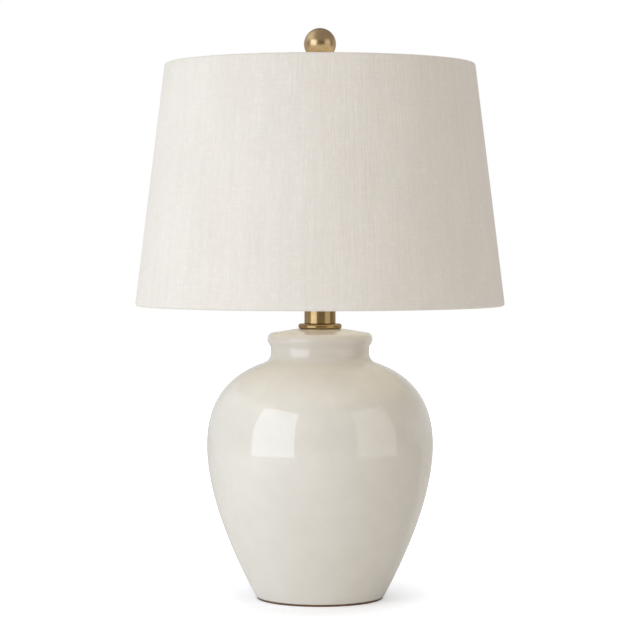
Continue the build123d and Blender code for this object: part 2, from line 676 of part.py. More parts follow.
def terminal_screws():
    sunk = Pos(0, 0, -FIT_CLEARANCE) * terminal_screw(TERMINAL_SHANK_RADIUS, TERMINAL_HEAD_RADIUS)
    inside = disc(BODY_RADIUS - FIT_CLEARANCE, LIP_OF_CAP_Z, BODY_TOP_Z)
    return Compound([inside & (plane * sunk) for plane in terminal_planes()])


def holder_body():
    """The moulded body that carries the contacts, the terminals and the switch."""
    body = disc(BODY_RADIUS, LIP_OF_CAP_Z + 2 * FIT_CLEARANCE, BODY_TOP_Z)
    pocket_depth = TERMINAL_HEAD_THICKNESS + FIT_CLEARANCE
    for plane in terminal_planes():
        pocket = Pos(0, 0, -pocket_depth) * Cylinder(
            TERMINAL_HEAD_RADIUS + FIT_CLEARANCE, 2 * pocket_depth, align=STAND
        )
        shank = Pos(0, 0, -pocket_depth - TERMINAL_SHANK_LENGTH) * Cylinder(
            TERMINAL_SHANK_RADIUS, TERMINAL_SHANK_LENGTH, align=STAND
        )
        body -= plane * (pocket + shank)
    return body - switch_plane() * Cylinder(
        SWITCH_SHAFT_RADIUS + TURNING_CLEARANCE, 2 * (SWITCH_SHAFT_DEPTH + FIT_CLEARANCE)
    )


def screw_shell():
    """The threaded contact that the bulb's cap goes into, drawn without its thread."""
    return tube(SCREW_SHELL_INNER, SCREW_SHELL_OUTER, BODY_TOP_Z, BODY_TOP_Z + SCREW_SHELL_LENGTH)


def centre_contact():
    return disc(CENTRE_CONTACT_RADIUS, BODY_TOP_Z, BODY_TOP_Z + CENTRE_CONTACT_THICKNESS)


# Switch

def switch_plane():
    """The switch's axis: it starts at the side of the moulded body and points out to the front."""
    return Plane(origin=(0, -BODY_RADIUS, SWITCH_Z), x_dir=(1, 0, 0), z_dir=(0, -1, 0))


def knob_start():
    """How far the knob's back lies from the side of the moulded body."""
    return CAP_OUTER - BODY_RADIUS + KNOB_STANDOFF


def switch_shaft():
    length = SWITCH_SHAFT_DEPTH + knob_start() + KNOB_BORE_DEPTH
    shaft = Cylinder(SWITCH_SHAFT_RADIUS, length, align=STAND)
    return switch_plane() * Pos(0, 0, -SWITCH_SHAFT_DEPTH) * shaft


def switch_knob():
    """A small fluted knob, bored for its shaft."""
    knob = Cylinder(KNOB_RADIUS, KNOB_LENGTH, align=STAND)
    knob = chamfer(knob.edges().filter_by(GeomType.CIRCLE), KNOB_CHAMFER)
    flute = Cylinder(KNOB_FLUTE_RADIUS, KNOB_LENGTH, align=STAND)
    knob -= [spot * flute for spot in PolarLocations(KNOB_RADIUS, KNOB_FLUTES)]
    knob -= Cylinder(SWITCH_SHAFT_RADIUS, KNOB_BORE_DEPTH, align=STAND)
    return switch_plane() * Pos(0, 0, knob_start()) * knob


# Bulb

def bulb_edges(inset):
    """The glass's curve from its crown down to the neck, moved inwards by the glass's thickness."""
    radius = BULB_RADIUS - inset
    turn = radians(BULB_TURN_IN)
    neck = (BULB_CAP_RADIUS - inset, BULB_GLASS_Z)
    waist = (radius * cos(turn), BULB_CENTRE_Z - radius * sin(turn))
    crown = (0, BULB_CENTRE_Z + radius)
    pull = (waist[1] - neck[1]) / 2
    waist_handle = (waist[0] - pull * sin(turn), waist[1] - pull * cos(turn))
    return [
        ThreePointArc(crown, (radius, BULB_CENTRE_Z), waist),
        Bezier(waist, waist_handle, (neck[0], neck[1] + pull), neck),
    ]


def bulb_glass():
    outer, inner = bulb_edges(0), bulb_edges(BULB_GLASS)
    outer_neck, inner_neck = outer[1] @ 1, inner[1] @ 1
    outer_crown, inner_crown = outer[0] @ 0, inner[0] @ 0
    return turned([*outer, Line(outer_neck, inner_neck), *inner, Line(inner_crown, outer_crown)])


def bulb_cap():
    """The bulb's screw cap, drawn without its thread."""
    return tube(BULB_CAP_RADIUS - BULB_CAP_WALL, BULB_CAP_RADIUS, BULB_CAP_Z, BULB_GLASS_Z)


def bulb_insulator():
    """The glass bead that closes the end of the cap round its contact."""
    low = BULB_Z + BULB_CONTACT_HEIGHT
    rim = BULB_CAP_Z + BULB_INSULATOR_HEIGHT / 2
    inside = BULB_CAP_RADIUS - BULB_CAP_WALL
    return turned_points((0, low), (BULB_CONTACT_RADIUS, low), (inside, BULB_CAP_Z), (inside, rim), (0, rim))


def bulb_contact():
    button = disc(BULB_CONTACT_RADIUS, BULB_Z, BULB_Z + BULB_CONTACT_HEIGHT)
    return fillet(button.edges().filter_by(GeomType.CIRCLE).sort_by(Axis.Z)[0], BULB_CONTACT_HEIGHT / 2)


def make_parts():
    """Every sub-part, by the name of its node."""
    jar = ceramic_jar()
    bow = harp_bow()
    hub = spider_hub()
    top_ring = shade_ring(SHADE_SLANT - HEM_FOLD)
    arms = spider_arms(ARM_RADIUS)
    return {
        "ceramic_jar": jar,
        "felt_pad": felt_pad(),
        "cord_bushing": cord_bushing(jar),
        "lamp_pipe": lamp_pipe(),
        "bottom_rubber_washer": rubber_washer(),
        "bottom_steel_washer": steel_washer(),
        "bottom_nut": hex_nut(BOTTOM_NUT_Z),
        "check_ring": check_ring(),
        "neck_tube": neck_tube(),
        "top_nut": hex_nut(TOP_NUT_Z),
        "harp_saddle": harp_saddle(),
        "holder_cap": holder_cap(),
        "holder_set_screw": set_screw(),
        "holder_shell": holder_shell(),
        "holder_sleeve": holder_sleeve(),
        "holder_body": holder_body(),
        "holder_screw_shell": screw_shell(),
        "holder_centre_contact": centre_contact(),
        "holder_terminal_screws": terminal_screws(),
        "switch_shaft": switch_shaft(),
        "switch_knob": switch_knob(),
        "harp_bow": bow,
        "harp_stud": harp_stud(bow),
        "harp_ferrule_left": ferrule(-1),
        "harp_ferrule_right": ferrule(1),
        "spider_hub": hub,
        "spider_arms": Compound([arm - top_ring - hub for arm in arms]),
        "shade_top_ring": top_ring,
        "shade_bottom_ring": shade_ring(HEM_FOLD),
        "shade_liner": shade_liner(),
        "shade_fabric": shade_fabric(spider_arms(ARM_RADIUS + ARM_NOTCH_CLEARANCE)),
        "finial_base": finial_base(),
        "finial_ball": finial_ball(),
        "bulb_glass": bulb_glass(),
        "bulb_cap": bulb_cap(),
        "bulb_insulator": bulb_insulator(),
        "bulb_contact": bulb_contact(),
    }


def main():
    os.makedirs("parts", exist_ok=True)
    for name, shape in make_parts().items():
        export_step(shape, f"parts/{name}.step")
    print("height", round(BALL_Z + FINIAL_BALL_RADIUS, 2), "shade", SHADE_BOTTOM_Z, SHADE_TOP_Z)


if __name__ == "__main__":
    main()
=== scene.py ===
# %% [markdown]
# A ceramic table lamp, dressed for its photograph.
# The lamp has been built already as a set of solid parts that fit and move. This lesson gives each part the
# surface that the real one has: a glazed jar, aged brass, slubby linen, a frosted bulb. Nothing is moved or
# resized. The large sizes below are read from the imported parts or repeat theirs, in metres, and only fine
# detail is added.

import json
from math import atan, atan2, cos, hypot, pi, radians, sin, tan

import bmesh
import bpy
from mathutils import Matrix, Vector


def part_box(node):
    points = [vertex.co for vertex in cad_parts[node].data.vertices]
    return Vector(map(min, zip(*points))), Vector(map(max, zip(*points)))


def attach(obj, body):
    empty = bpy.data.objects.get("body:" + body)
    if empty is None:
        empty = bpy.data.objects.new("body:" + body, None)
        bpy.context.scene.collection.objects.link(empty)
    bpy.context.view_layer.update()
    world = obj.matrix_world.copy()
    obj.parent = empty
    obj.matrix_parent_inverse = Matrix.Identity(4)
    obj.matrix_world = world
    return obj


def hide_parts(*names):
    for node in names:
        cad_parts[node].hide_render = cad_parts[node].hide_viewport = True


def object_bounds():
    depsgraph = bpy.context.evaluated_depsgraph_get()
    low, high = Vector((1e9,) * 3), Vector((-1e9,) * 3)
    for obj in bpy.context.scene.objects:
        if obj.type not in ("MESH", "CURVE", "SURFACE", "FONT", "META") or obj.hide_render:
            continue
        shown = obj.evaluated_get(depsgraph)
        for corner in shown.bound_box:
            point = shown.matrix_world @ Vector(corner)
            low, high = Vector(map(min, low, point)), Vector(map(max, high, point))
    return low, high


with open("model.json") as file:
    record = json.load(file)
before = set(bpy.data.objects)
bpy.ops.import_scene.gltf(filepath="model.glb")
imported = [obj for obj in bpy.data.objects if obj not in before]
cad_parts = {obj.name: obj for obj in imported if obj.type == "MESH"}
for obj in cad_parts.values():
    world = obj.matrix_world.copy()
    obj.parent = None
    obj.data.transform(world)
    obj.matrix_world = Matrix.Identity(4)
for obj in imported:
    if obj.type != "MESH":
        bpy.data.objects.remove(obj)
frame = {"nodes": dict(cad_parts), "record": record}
cad_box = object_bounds()
scene = bpy.context.scene


# %% [markdown]
# The camera comes first, because it decides what has to look right. The photograph was taken with a long lens
# from about a quarter of the way up the shade, tilted down a little. Its focal length is known as a number of
# pixels, and a square frame on a 36 mm sensor turns that into a lens in millimetres.

# %% Camera
PHOTO_SIDE = 640
FOCAL_PIXELS = 2350
HORIZON_PIXEL = 237
SENSOR_MM = 36
EYE_HEIGHT = 0.396
EYE_DISTANCE = 2.573

camera_data = bpy.data.cameras.new("photo_camera")
camera_data.sensor_width = SENSOR_MM
camera_data.lens = FOCAL_PIXELS / PHOTO_SIDE * SENSOR_MM
camera = bpy.data.objects.new("photo_camera", camera_data)
pitch = atan((PHOTO_SIDE / 2 - HORIZON_PIXEL) / FOCAL_PIXELS)
camera.location = (0, -EYE_DISTANCE, EYE_HEIGHT)
camera.rotation_euler = (pi / 2 - pitch, 0, 0)
scene.collection.objects.link(camera)
scene.camera = camera
scene.view_settings.view_transform = "Standard"
print("lens", round(camera_data.lens, 1), "mm")


# %% [markdown]
# Every finish here is a Principled shader with textures worked out by nodes. A few short helpers keep the
# recipes readable: they start a material, add a node and wire its inputs, turn a grey value into colours, and
# stack one bump on another. A value that is the same all over stays on the shader's own socket.

# %% Helpers for finishes
def start_finish(name, **sockets):
    """A new material, its node tree and its shader, with constant values set on the shader."""
    finish = bpy.data.materials.new(name)
    finish.use_nodes = True
    tree = finish.node_tree
    shader = tree.nodes["Principled BSDF"]
    for socket, value in sockets.items():
        shader.inputs[socket.replace("_", " ")].default_value = value
    return finish, tree, shader


def add_node(tree, kind, inputs=None, **settings):
    """A node of a kind; an input given as a socket is linked, and any other value is set."""
    made = tree.nodes.new("ShaderNode" + kind)
    for name, value in settings.items():
        setattr(made, name, value)
    for name, value in (inputs or {}).items():
        if isinstance(value, bpy.types.NodeSocket):
            tree.links.new(value, made.inputs[name])
        else:
            made.inputs[name].default_value = value
    return made


def in_place(tree):
    """Object coordinates: metres in the lamp's own frame."""
    return add_node(tree, "TexCoord").outputs["Object"]


def add_ramp(tree, factor, *stops):
    """Colours along a grey value: each stop is a position and a grey or an (r, g, b) colour."""
    made = add_node(tree, "ValToRGB", {"Fac": factor})
    elements = made.color_ramp.elements
    while len(elements) < len(stops):
        elements.new(1.0)
    for element, (position, colour) in zip(elements, stops):
        element.position = position
        element.color = (*colour, 1) if hasattr(colour, "__len__") else (colour, colour, colour, 1)
    return made.outputs["Color"]


def add_noise(tree, where, grain, detail=3.0, roughness=0.55):
    """Noise whose grains have a size in metres along each axis of the coordinates."""
    stretch = [1 / size for size in grain] if hasattr(grain, "__len__") else [1 / grain] * 3
    placed = add_node(tree, "Mapping", {"Vector": where, "Scale": stretch})
    noise = add_node(
        tree, "TexNoise",
        {"Vector": placed.outputs["Vector"], "Scale": 1.0, "Detail": detail, "Roughness": roughness},
    )
    return noise.outputs["Fac"]


def mix_colours(tree, factor, first, second, blend="MIX"):
    """Two colours mixed by a factor; each may be a socket or a plain colour."""
    made = add_node(tree, "Mix", data_type="RGBA", blend_type=blend)
    for socket, value in (("Factor_Float", factor), ("A_Color", first), ("B_Color", second)):
        target = next(s for s in made.inputs if s.identifier == socket)
        if isinstance(value, bpy.types.NodeSocket):
            tree.links.new(value, target)
        else:
            target.default_value = (*value, 1) if hasattr(value, "__len__") else value
    return next(s for s in made.outputs if s.identifier == "Result_Color")


def multiply_all(tree, *colours):
    """Colours multiplied together."""
    product = colours[0]
    for colour in colours[1:]:
        product = mix_colours(tree, 1.0, product, colour, "MULTIPLY")
    return product


def add_bump(tree, shader, height, strength, depth):
    """A bump of a depth in metres on the shader's normal; a second call adds to the first."""
    made = add_node(tree, "Bump", {"Height": height, "Strength": strength, "Distance": depth})
    for link in shader.inputs["Normal"].links:
        tree.links.new(link.from_socket, made.inputs["Normal"])
    tree.links.new(made.outputs["Normal"], shader.inputs["Normal"])


# %% [markdown]
# A catalogue picture is lit by large soft sources, and a glossy glaze shows each of them as a bright patch.
# The place of a patch on the round belly gives the direction of its source: where the surface faces about 23
# degrees to the left, the mirror direction is twice that. So the key light stands 47 degrees to the left and
# near enough to fill the patch. A weaker card stands on the right, with a glint just in front of it that only
# shiny surfaces see. Linen also lets some light through, warmed on its way, and that falls out of the shade
# onto the jar's shoulder. A weak soft light inside the shade stands for it.

# %% Lights
SOFTBOX_DISTANCE = 1.2
SOFTBOX_MIDDLE = 0.60
KEY_AZIMUTH = -47
KEY_SIZE = (0.99, 1.155)
KEY_POWER = 7.7
KEY_COLOUR = (0.80, 0.88, 1.0)
FILL_AZIMUTH = 58
FILL_SIZE = (0.935, 1.155)
FILL_POWER = 1.0
FILL_COLOUR = (1.0, 0.925, 0.84)
GLINT_DISTANCE = SOFTBOX_DISTANCE - 0.01
GLINT_POWER = 1.7
GLINT_COLOUR = (0.88, 0.95, 1.0)
GLOW_HEIGHT = 0.45
GLOW_SOFTNESS = 0.09
GLOW_POWER = 0.50
GLOW_COLOUR = (1.0, 0.91, 0.74)


def around(azimuth, distance, height):
    """A point round the lamp: azimuth 0 is in front of it and positive azimuths are to the right."""
    turn = radians(azimuth)
    return (distance * sin(turn), -distance * cos(turn), height)


def add_light(name, kind, place, power, colour):
    """A light at a place, left out of the picture itself."""
    light = bpy.data.lights.new(name, kind)
    light.energy = power
    light.color = colour
    lamp = bpy.data.objects.new(name, light)
    lamp.location = place
    lamp.visible_camera = False
    scene.collection.objects.link(lamp)
    return lamp


def add_softbox(name, azimuth, distance, size, power, colour, soft=True):
    """A rectangular light that faces the lamp's axis; one that isn't soft shows in reflections only."""
    place = around(azimuth, distance, SOFTBOX_MIDDLE)
    lamp = add_light(name, "AREA", place, power, colour)
    lamp.data.shape = "RECTANGLE"
    lamp.data.size, lamp.data.size_y = size
    lamp.rotation_euler = Vector((-place[0], -place[1], 0)).to_track_quat("-Z", "Y").to_euler()
    lamp.visible_diffuse = soft


add_softbox("key", KEY_AZIMUTH, SOFTBOX_DISTANCE, KEY_SIZE, KEY_POWER, KEY_COLOUR)
add_softbox("fill", FILL_AZIMUTH, SOFTBOX_DISTANCE, FILL_SIZE, FILL_POWER, FILL_COLOUR)
add_softbox("glint", FILL_AZIMUTH, GLINT_DISTANCE, FILL_SIZE, GLINT_POWER, GLINT_COLOUR, soft=False)
shade_glow = add_light("glow", "POINT", (0, 0, GLOW_HEIGHT), GLOW_POWER, GLOW_COLOUR)
shade_glow.data.shadow_soft_size = GLOW_SOFTNESS
shade_glow.visible_glossy = False
print("key", KEY_POWER, "W, fill", FILL_POWER, "W, glint", GLINT_POWER, "W, glow", GLOW_POWER, "W")


# %% [markdown]
# Around the lamp is a white studio. The world is its walls: dim and warm in front, bright behind, with a
# broad soft light high in front. Shiny surfaces mirror a studio of their own. It is dark just round the
# camera, which is the dark band that polished brass shows down its middle, a narrow dark flag stands upright
# beside the right-hand card, and the dim ceiling has a bright stretch on the left. The floor is a wide pale
# disc. The colour that mirrors see on it is painted light: darker in front of the lamp and brighter behind
# and to the left, as if the paper were lit more there. To the camera it glows, as a lit sweep of paper seems
# to, so it melts into the white. The glow is weaker near the lamp, round a point just beside its axis and
# drawn out towards the front. That dip is painted shadow: it sets how far the soft shadow under the jar
# reaches and how it fades, and the rest of that shadow is real.

# %% World and floor
FRONT_WALL = (0.21, 0.18, 0.175)
BACK_WALL = (0.72, 0.72, 0.705)
BACK_WALL_SPAN = (-0.1, 0.7)
HIGH_FRONT = (0.64, 0.605, 0.52)
HIGH_FRONT_AIM = (-12, 40)
HIGH_FRONT_SPAN = (0.3, 1.0)
CEILING = (0.36, 0.345, 0.33)
CEILING_SPAN = (0.08, 0.60)
HIGH_LEFT = (0.95, 0.94, 0.92)
HIGH_LEFT_AIM = (-105, 20)
HIGH_LEFT_SPAN = (0.5, 0.9)
DARK = (0.06, 0.055, 0.05)
DARK_FRONT_SPAN = (-0.72, -0.95)
FLAG_AZIMUTH = 89.5
FLAG_HALF_WIDTH = 8.5
FLAG_SOFTNESS = 0.004
FLOOR_RADIUS = 6.0
FLOOR_SIDES = 96
PAPER = (0.92, 0.92, 0.92)
# Painted reflection: the paper as mirrors see it, darker in front and brighter behind, as if lit more at the
# back.
MIRRORED_FRONT = (0.48, 0.47, 0.46)
MIRRORED_BACK = (0.98, 0.97, 0.96)
TO_BACK_OF_FLOOR = (-0.6, 1.0, 0.0)
FLOOR_SPAN = (-0.12, 0.06)
FLOOR_BOUNCE = 0.06
# Painted shadow: the floor's glow dips near the lamp, round this middle and with this spread, to shape the
# shadow under the jar.
FLOOR_GLOW_COLOUR = (0.87, 0.92, 1.0, 1)
PAINTED_SHADOW_MIDDLE = (-0.012, -0.011, 0)
PAINTED_SHADOW_SPREAD = (1.0, 0.75, 1.0)
FLOOR_GLOW_NEAR = 0.294
FLOOR_GLOW_FAR = 1.13
FLOOR_GLOW_START = 0.068
FLOOR_GLOW_END = 0.305


def smooth_range(tree, value, start, end):
    """A factor eased from 0 to 1 while a value goes from start to end."""
    limits = {"Value": value, "From Min": start, "From Max": end}
    return add_node(tree, "MapRange", limits, interpolation_type="SMOOTHSTEP").outputs["Result"]


def vector_math(tree, operation, *vectors):
    """A step of arithmetic with vectors; its outputs are a Vector and a Value."""
    return add_node(tree, "VectorMath", dict(enumerate(vectors)), operation=operation).outputs


def reach(tree, vector, direction):
    """How far a vector goes in a direction."""
    return vector_math(tree, "DOT_PRODUCT", vector, direction)["Value"]


def heading(azimuth, slope):
    """The direction from the lamp at an azimuth and a slope above the level."""
    rise = radians(slope)
    return around(azimuth, cos(rise), sin(rise))


def make_world():
    world = bpy.data.worlds.new("studio")
    world.use_nodes = True
    tree = world.node_tree
    towards = add_node(tree, "TexCoord").outputs["Generated"]
    along = add_node(tree, "SeparateXYZ", {"Vector": towards}).outputs
    level = vector_math(tree, "MULTIPLY", towards, (1, 1, 0))["Vector"]
    bearing = vector_math(tree, "NORMALIZE", level)["Vector"]
    walls = mix_colours(tree, smooth_range(tree, along["Y"], *BACK_WALL_SPAN), FRONT_WALL, BACK_WALL)
    high_front = reach(tree, towards, heading(*HIGH_FRONT_AIM))
    lit = mix_colours(tree, smooth_range(tree, high_front, *HIGH_FRONT_SPAN), walls, HIGH_FRONT, "ADD")
    flag = reach(tree, bearing, heading(FLAG_AZIMUTH, 0))
    edge = cos(radians(FLAG_HALF_WIDTH))
    flagged = smooth_range(tree, flag, edge - FLAG_SOFTNESS, edge + FLAG_SOFTNESS)
    mirrored = mix_colours(tree, flagged, walls, DARK)
    mirrored = mix_colours(tree, smooth_range(tree, along["Y"], *DARK_FRONT_SPAN), mirrored, DARK)
    high_left = reach(tree, towards, heading(*HIGH_LEFT_AIM))
    ceiling = mix_colours(tree, smooth_range(tree, high_left, *HIGH_LEFT_SPAN), CEILING, HIGH_LEFT)
    mirrored = mix_colours(tree, smooth_range(tree, along["Z"], *CEILING_SPAN), mirrored, ceiling)
    wall = tree.nodes["Background"]
    path = add_node(tree, "LightPath").outputs
    tree.links.new(mix_colours(tree, path["Is Glossy Ray"], lit, mirrored), wall.inputs["Color"])
    white = add_node(tree, "Background", {"Color": (1, 1, 1, 1), "Strength": 1.0})
    mixed = add_node(tree, "MixShader", {0: path["Is Camera Ray"], 1: wall.outputs[0], 2: white.outputs[0]})
    tree.links.new(mixed.outputs[0], tree.nodes["World Output"].inputs["Surface"])
    scene.world = world


def make_paper():
    finish, tree, shader = start_finish(
        "white_paper", Roughness=0.9, Specular_IOR_Level=0.0, Emission_Color=FLOOR_GLOW_COLOUR
    )
    where = in_place(tree)
    place = vector_math(tree, "MULTIPLY", where, PAINTED_SHADOW_SPREAD)["Vector"]
    away = vector_math(tree, "DISTANCE", place, PAINTED_SHADOW_MIDDLE)["Value"]
    # The glow is lowest near the lamp, which paints part of the shadow under the jar.
    glow = add_node(tree, "MapRange", {
        "Value": away, "From Min": FLOOR_GLOW_START, "From Max": FLOOR_GLOW_END,
        "To Min": FLOOR_GLOW_NEAR, "To Max": FLOOR_GLOW_FAR,
    })
    # The floor as mirrors see it is painted darker in front and brighter behind: painted light in its
    # reflections.
    behind = smooth_range(tree, reach(tree, where, TO_BACK_OF_FLOOR), *FLOOR_SPAN)
    mirrored = mix_colours(tree, behind, MIRRORED_FRONT, MIRRORED_BACK)
    path = add_node(tree, "LightPath").outputs
    paper = mix_colours(tree, path["Is Glossy Ray"], PAPER, mirrored)
    tree.links.new(paper, shader.inputs["Base Color"])
    shown = add_node(tree, "MapRange", {
        "Value": path["Is Camera Ray"], "To Min": FLOOR_BOUNCE, "To Max": glow.outputs["Result"],
    })
    tree.links.new(shown.outputs["Result"], shader.inputs["Emission Strength"])
    return finish


def add_mesh(name, bm):
    """An object at the origin with the mesh in a bmesh."""
    mesh = bpy.data.meshes.new(name)
    bm.to_mesh(mesh)
    bm.free()
    made = bpy.data.objects.new(name, mesh)
    scene.collection.objects.link(made)
    return made


def make_floor():
    bm = bmesh.new()
    bmesh.ops.create_circle(bm, cap_ends=True, segments=FLOOR_SIDES, radius=FLOOR_RADIUS)
    bmesh.ops.translate(bm, verts=bm.verts[:], vec=(0, 0, cad_box[0][2]))
    floor = add_mesh("floor", bm)
    floor.data.materials.append(make_paper())


make_world()
make_floor()
print("floor radius", FLOOR_RADIUS)


# %% [markdown]
# New pieces are turned on a lathe, as most of the real ones are. An outline is drawn in the XZ plane, either
# as a smooth curve or as corners that are then rounded, and spun round the Z axis. Then the mesh becomes a
# piece: it is hung on the body that it moves with, and the solid that it stands for is hidden.

# %% Helpers for pieces
FINE_STEPS = 160
PLAIN_STEPS = 96
SHARP_ANGLE = radians(40)
CORNER_SEGMENTS = 6
MERGE_DISTANCE = 1e-6


def draw_curve(knots, resolution=16):
    """A bmesh of edges along a smooth outline; a knot is a point with its handles before and after it."""
    curve = bpy.data.curves.new("outline", "CURVE")
    curve.dimensions = "3D"
    curve.resolution_u = resolution
    spline = curve.splines.new("BEZIER")
    spline.bezier_points.add(len(knots) - 1)
    for bend, (point, before, after) in zip(spline.bezier_points, knots):
        bend.handle_left_type = bend.handle_right_type = "FREE"
        bend.co = (point[0], 0, point[1])
        bend.handle_left = (before[0], 0, before[1])
        bend.handle_right = (after[0], 0, after[1])
    carrier = bpy.data.objects.new("outline", curve)
    edges = bpy.data.meshes.new_from_object(carrier)
    bm = bmesh.new()
    bm.from_mesh(edges)
    bpy.data.objects.remove(carrier)
    bpy.data.curves.remove(curve)
    bpy.data.meshes.remove(edges)
    return bm


def draw_corners(*corners, closed=False):
    """A bmesh of straight edges through (radius, height) corners; a corner's third value rounds it."""
    bm = bmesh.new()
    points = [bm.verts.new((corner[0], 0, corner[1])) for corner in corners]
    ends = points[1:] + points[:1] if closed else points[1:]
    for first, second in zip(points, ends):
        bm.edges.new((first, second))
    for point, corner in zip(points, corners):
        if len(corner) > 2:
            bmesh.ops.bevel(
                bm, geom=[point], offset=corner[2], affect="VERTICES", segments=CORNER_SEGMENTS, profile=0.5,
                material=-1,
            )
    return bm


def spin(bm, angle, steps, **options):
    """Spin what is drawn through an angle round Z."""
    bmesh.ops.spin(
        bm, geom=bm.verts[:] + bm.edges[:], cent=(0, 0, 0), axis=(0, 0, 1), angle=angle, steps=steps,
        **options,
    )


def spin_round(bm, steps=PLAIN_STEPS):
    """Spin an outline in the XZ plane right round Z, close its poles and face it outwards."""
    spin(bm, 2 * pi, steps, use_merge=True)
    bmesh.ops.remove_doubles(bm, verts=bm.verts[:], dist=MERGE_DISTANCE)
    bmesh.ops.recalc_face_normals(bm, faces=bm.faces[:])
    return bm


def add_piece(name, bm, body, finish, slot, *nodes):
    """Turn a bmesh into a piece that moves with a body and stands for these parts."""
    piece = add_mesh(name, bm)
    mesh = piece.data
    mesh.shade_smooth()
    mesh.set_sharp_from_angle(angle=SHARP_ANGLE)
    mesh.materials.append(finish)
    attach(piece, body)
    if nodes:
        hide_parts(*nodes)
    print(name, len(mesh.polygons), "faces")
    return piece


def heights(node):
    """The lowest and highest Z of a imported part."""
    low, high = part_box(node)
    return low[2], high[2]


def radius_of(node):
    """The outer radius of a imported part, across X."""
    low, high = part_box(node)
    return (high[0] - low[0]) / 2


# %% [markdown]
# The glaze is a thick cream coat over pale clay. It isn't one colour: it is a little warmer at the shoulder
# and the lip, partly where it pooled and partly painted warm light from the shade, and faintly mottled all
# over. A clear coat gives the crisp reflections, and a very shallow noise gives the skin its slight waviness.

# %% Cream glaze
CREAM = (0.805, 0.785, 0.725)
# The warmer cream and the heights of its band: partly pooled glaze, partly painted warm light from the shade.
WARM_CREAM = (0.79, 0.745, 0.67)
POOL_AND_WARM_LIGHT_START = 0.19
POOL_AND_WARM_LIGHT_END = 0.262


def make_glaze():
    finish, tree, shader = start_finish(
        "cream_glaze", Coat_Weight=1.0, Coat_Roughness=0.03, Coat_IOR=1.64, IOR=1.45, Specular_IOR_Level=0.2
    )
    where = in_place(tree)
    height = add_node(tree, "SeparateXYZ", {"Vector": where}).outputs["Z"]
    patches = add_noise(tree, where, (0.11, 0.11, 0.08), detail=4.0)
    mottle = add_noise(tree, where, 0.021, detail=6.0, roughness=0.65)
    # The warm band at the shoulder and lip is partly pooled glaze and partly painted warm light.
    pooled_and_lit = smooth_range(tree, height, POOL_AND_WARM_LIGHT_START, POOL_AND_WARM_LIGHT_END)
    warm = add_node(tree, "Math", {0: pooled_and_lit, 1: patches}, operation="MULTIPLY").outputs["Value"]
    cream = mix_colours(tree, warm, CREAM, WARM_CREAM)
    cloud = add_ramp(tree, mottle, (0.30, (0.955, 0.95, 0.94)), (0.70, 1.0))
    drift = add_ramp(tree, patches, (0.30, (0.97, 0.97, 0.965)), (0.68, (1.0, 0.997, 0.99)))
    tree.links.new(multiply_all(tree, cream, cloud, drift), shader.inputs["Base Color"])
    tree.links.new(add_ramp(tree, mottle, (0.25, 0.30), (0.75, 0.42)), shader.inputs["Roughness"])
    add_bump(tree, shader, add_noise(tree, where, 0.0065, detail=2.0), strength=0.08, depth=0.0002)
    add_bump(tree, shader, patches, strength=0.25, depth=0.0012)
    return finish


glaze = make_glaze()
print("glaze has", len(glaze.node_tree.nodes), "nodes")


# %% [markdown]
# The jar is one outline spun round. Its flank and shoulder are the same two curves as the solid's: a foot
# that leans out to the belly and a shoulder that runs in to the neck. The neck's root, its flared lip and the
# rounded rim close it. The hole for the cord is drilled afterwards, square to the wall, where the record puts
# it.

# %% Glazed jar
FOOT_RADIUS = 0.0702
FOOT_LEAN = radians(28.8)
FOOT_PULL = 0.0766
FOOT_ROUND = 0.0015
BELLY_RISE = 0.166
BELLY_PULL_DOWN = 0.0406
BELLY_PULL_UP = 0.0421
SHOULDER_RISE = 0.1011
SHOULDER_SLOPE = radians(18.6)
SHOULDER_PULL = 0.0477
NECK_RADIUS = 0.0542
NECK_ROOT_CURVE = 0.0111
NECK_RISE = 0.0049
LIP_OVERHANG = 0.0032
LIP_RISE = 0.011
LIP_ROUND = 0.0065
DOME_SLOPE = radians(9)
SEAT_RADIUS = 0.0252
TOP_HOLE_RADIUS = 0.0117
TOP_HOLE_DEPTH = 0.012
CORD_HOLE_RADIUS = 0.0057
CORD_HOLE_DEPTH = 0.0095
JAR_CURVE_STEPS = 18
DRILL_SIDES = 48

cord_entry = next(mount for mount in frame["record"]["mounts"] if mount["name"] == "cord_entry")


def arc_handle(radius, angle):
    """The length of the handles that make a Bezier stretch follow an arc."""
    return 4 / 3 * tan(angle / 4) * radius


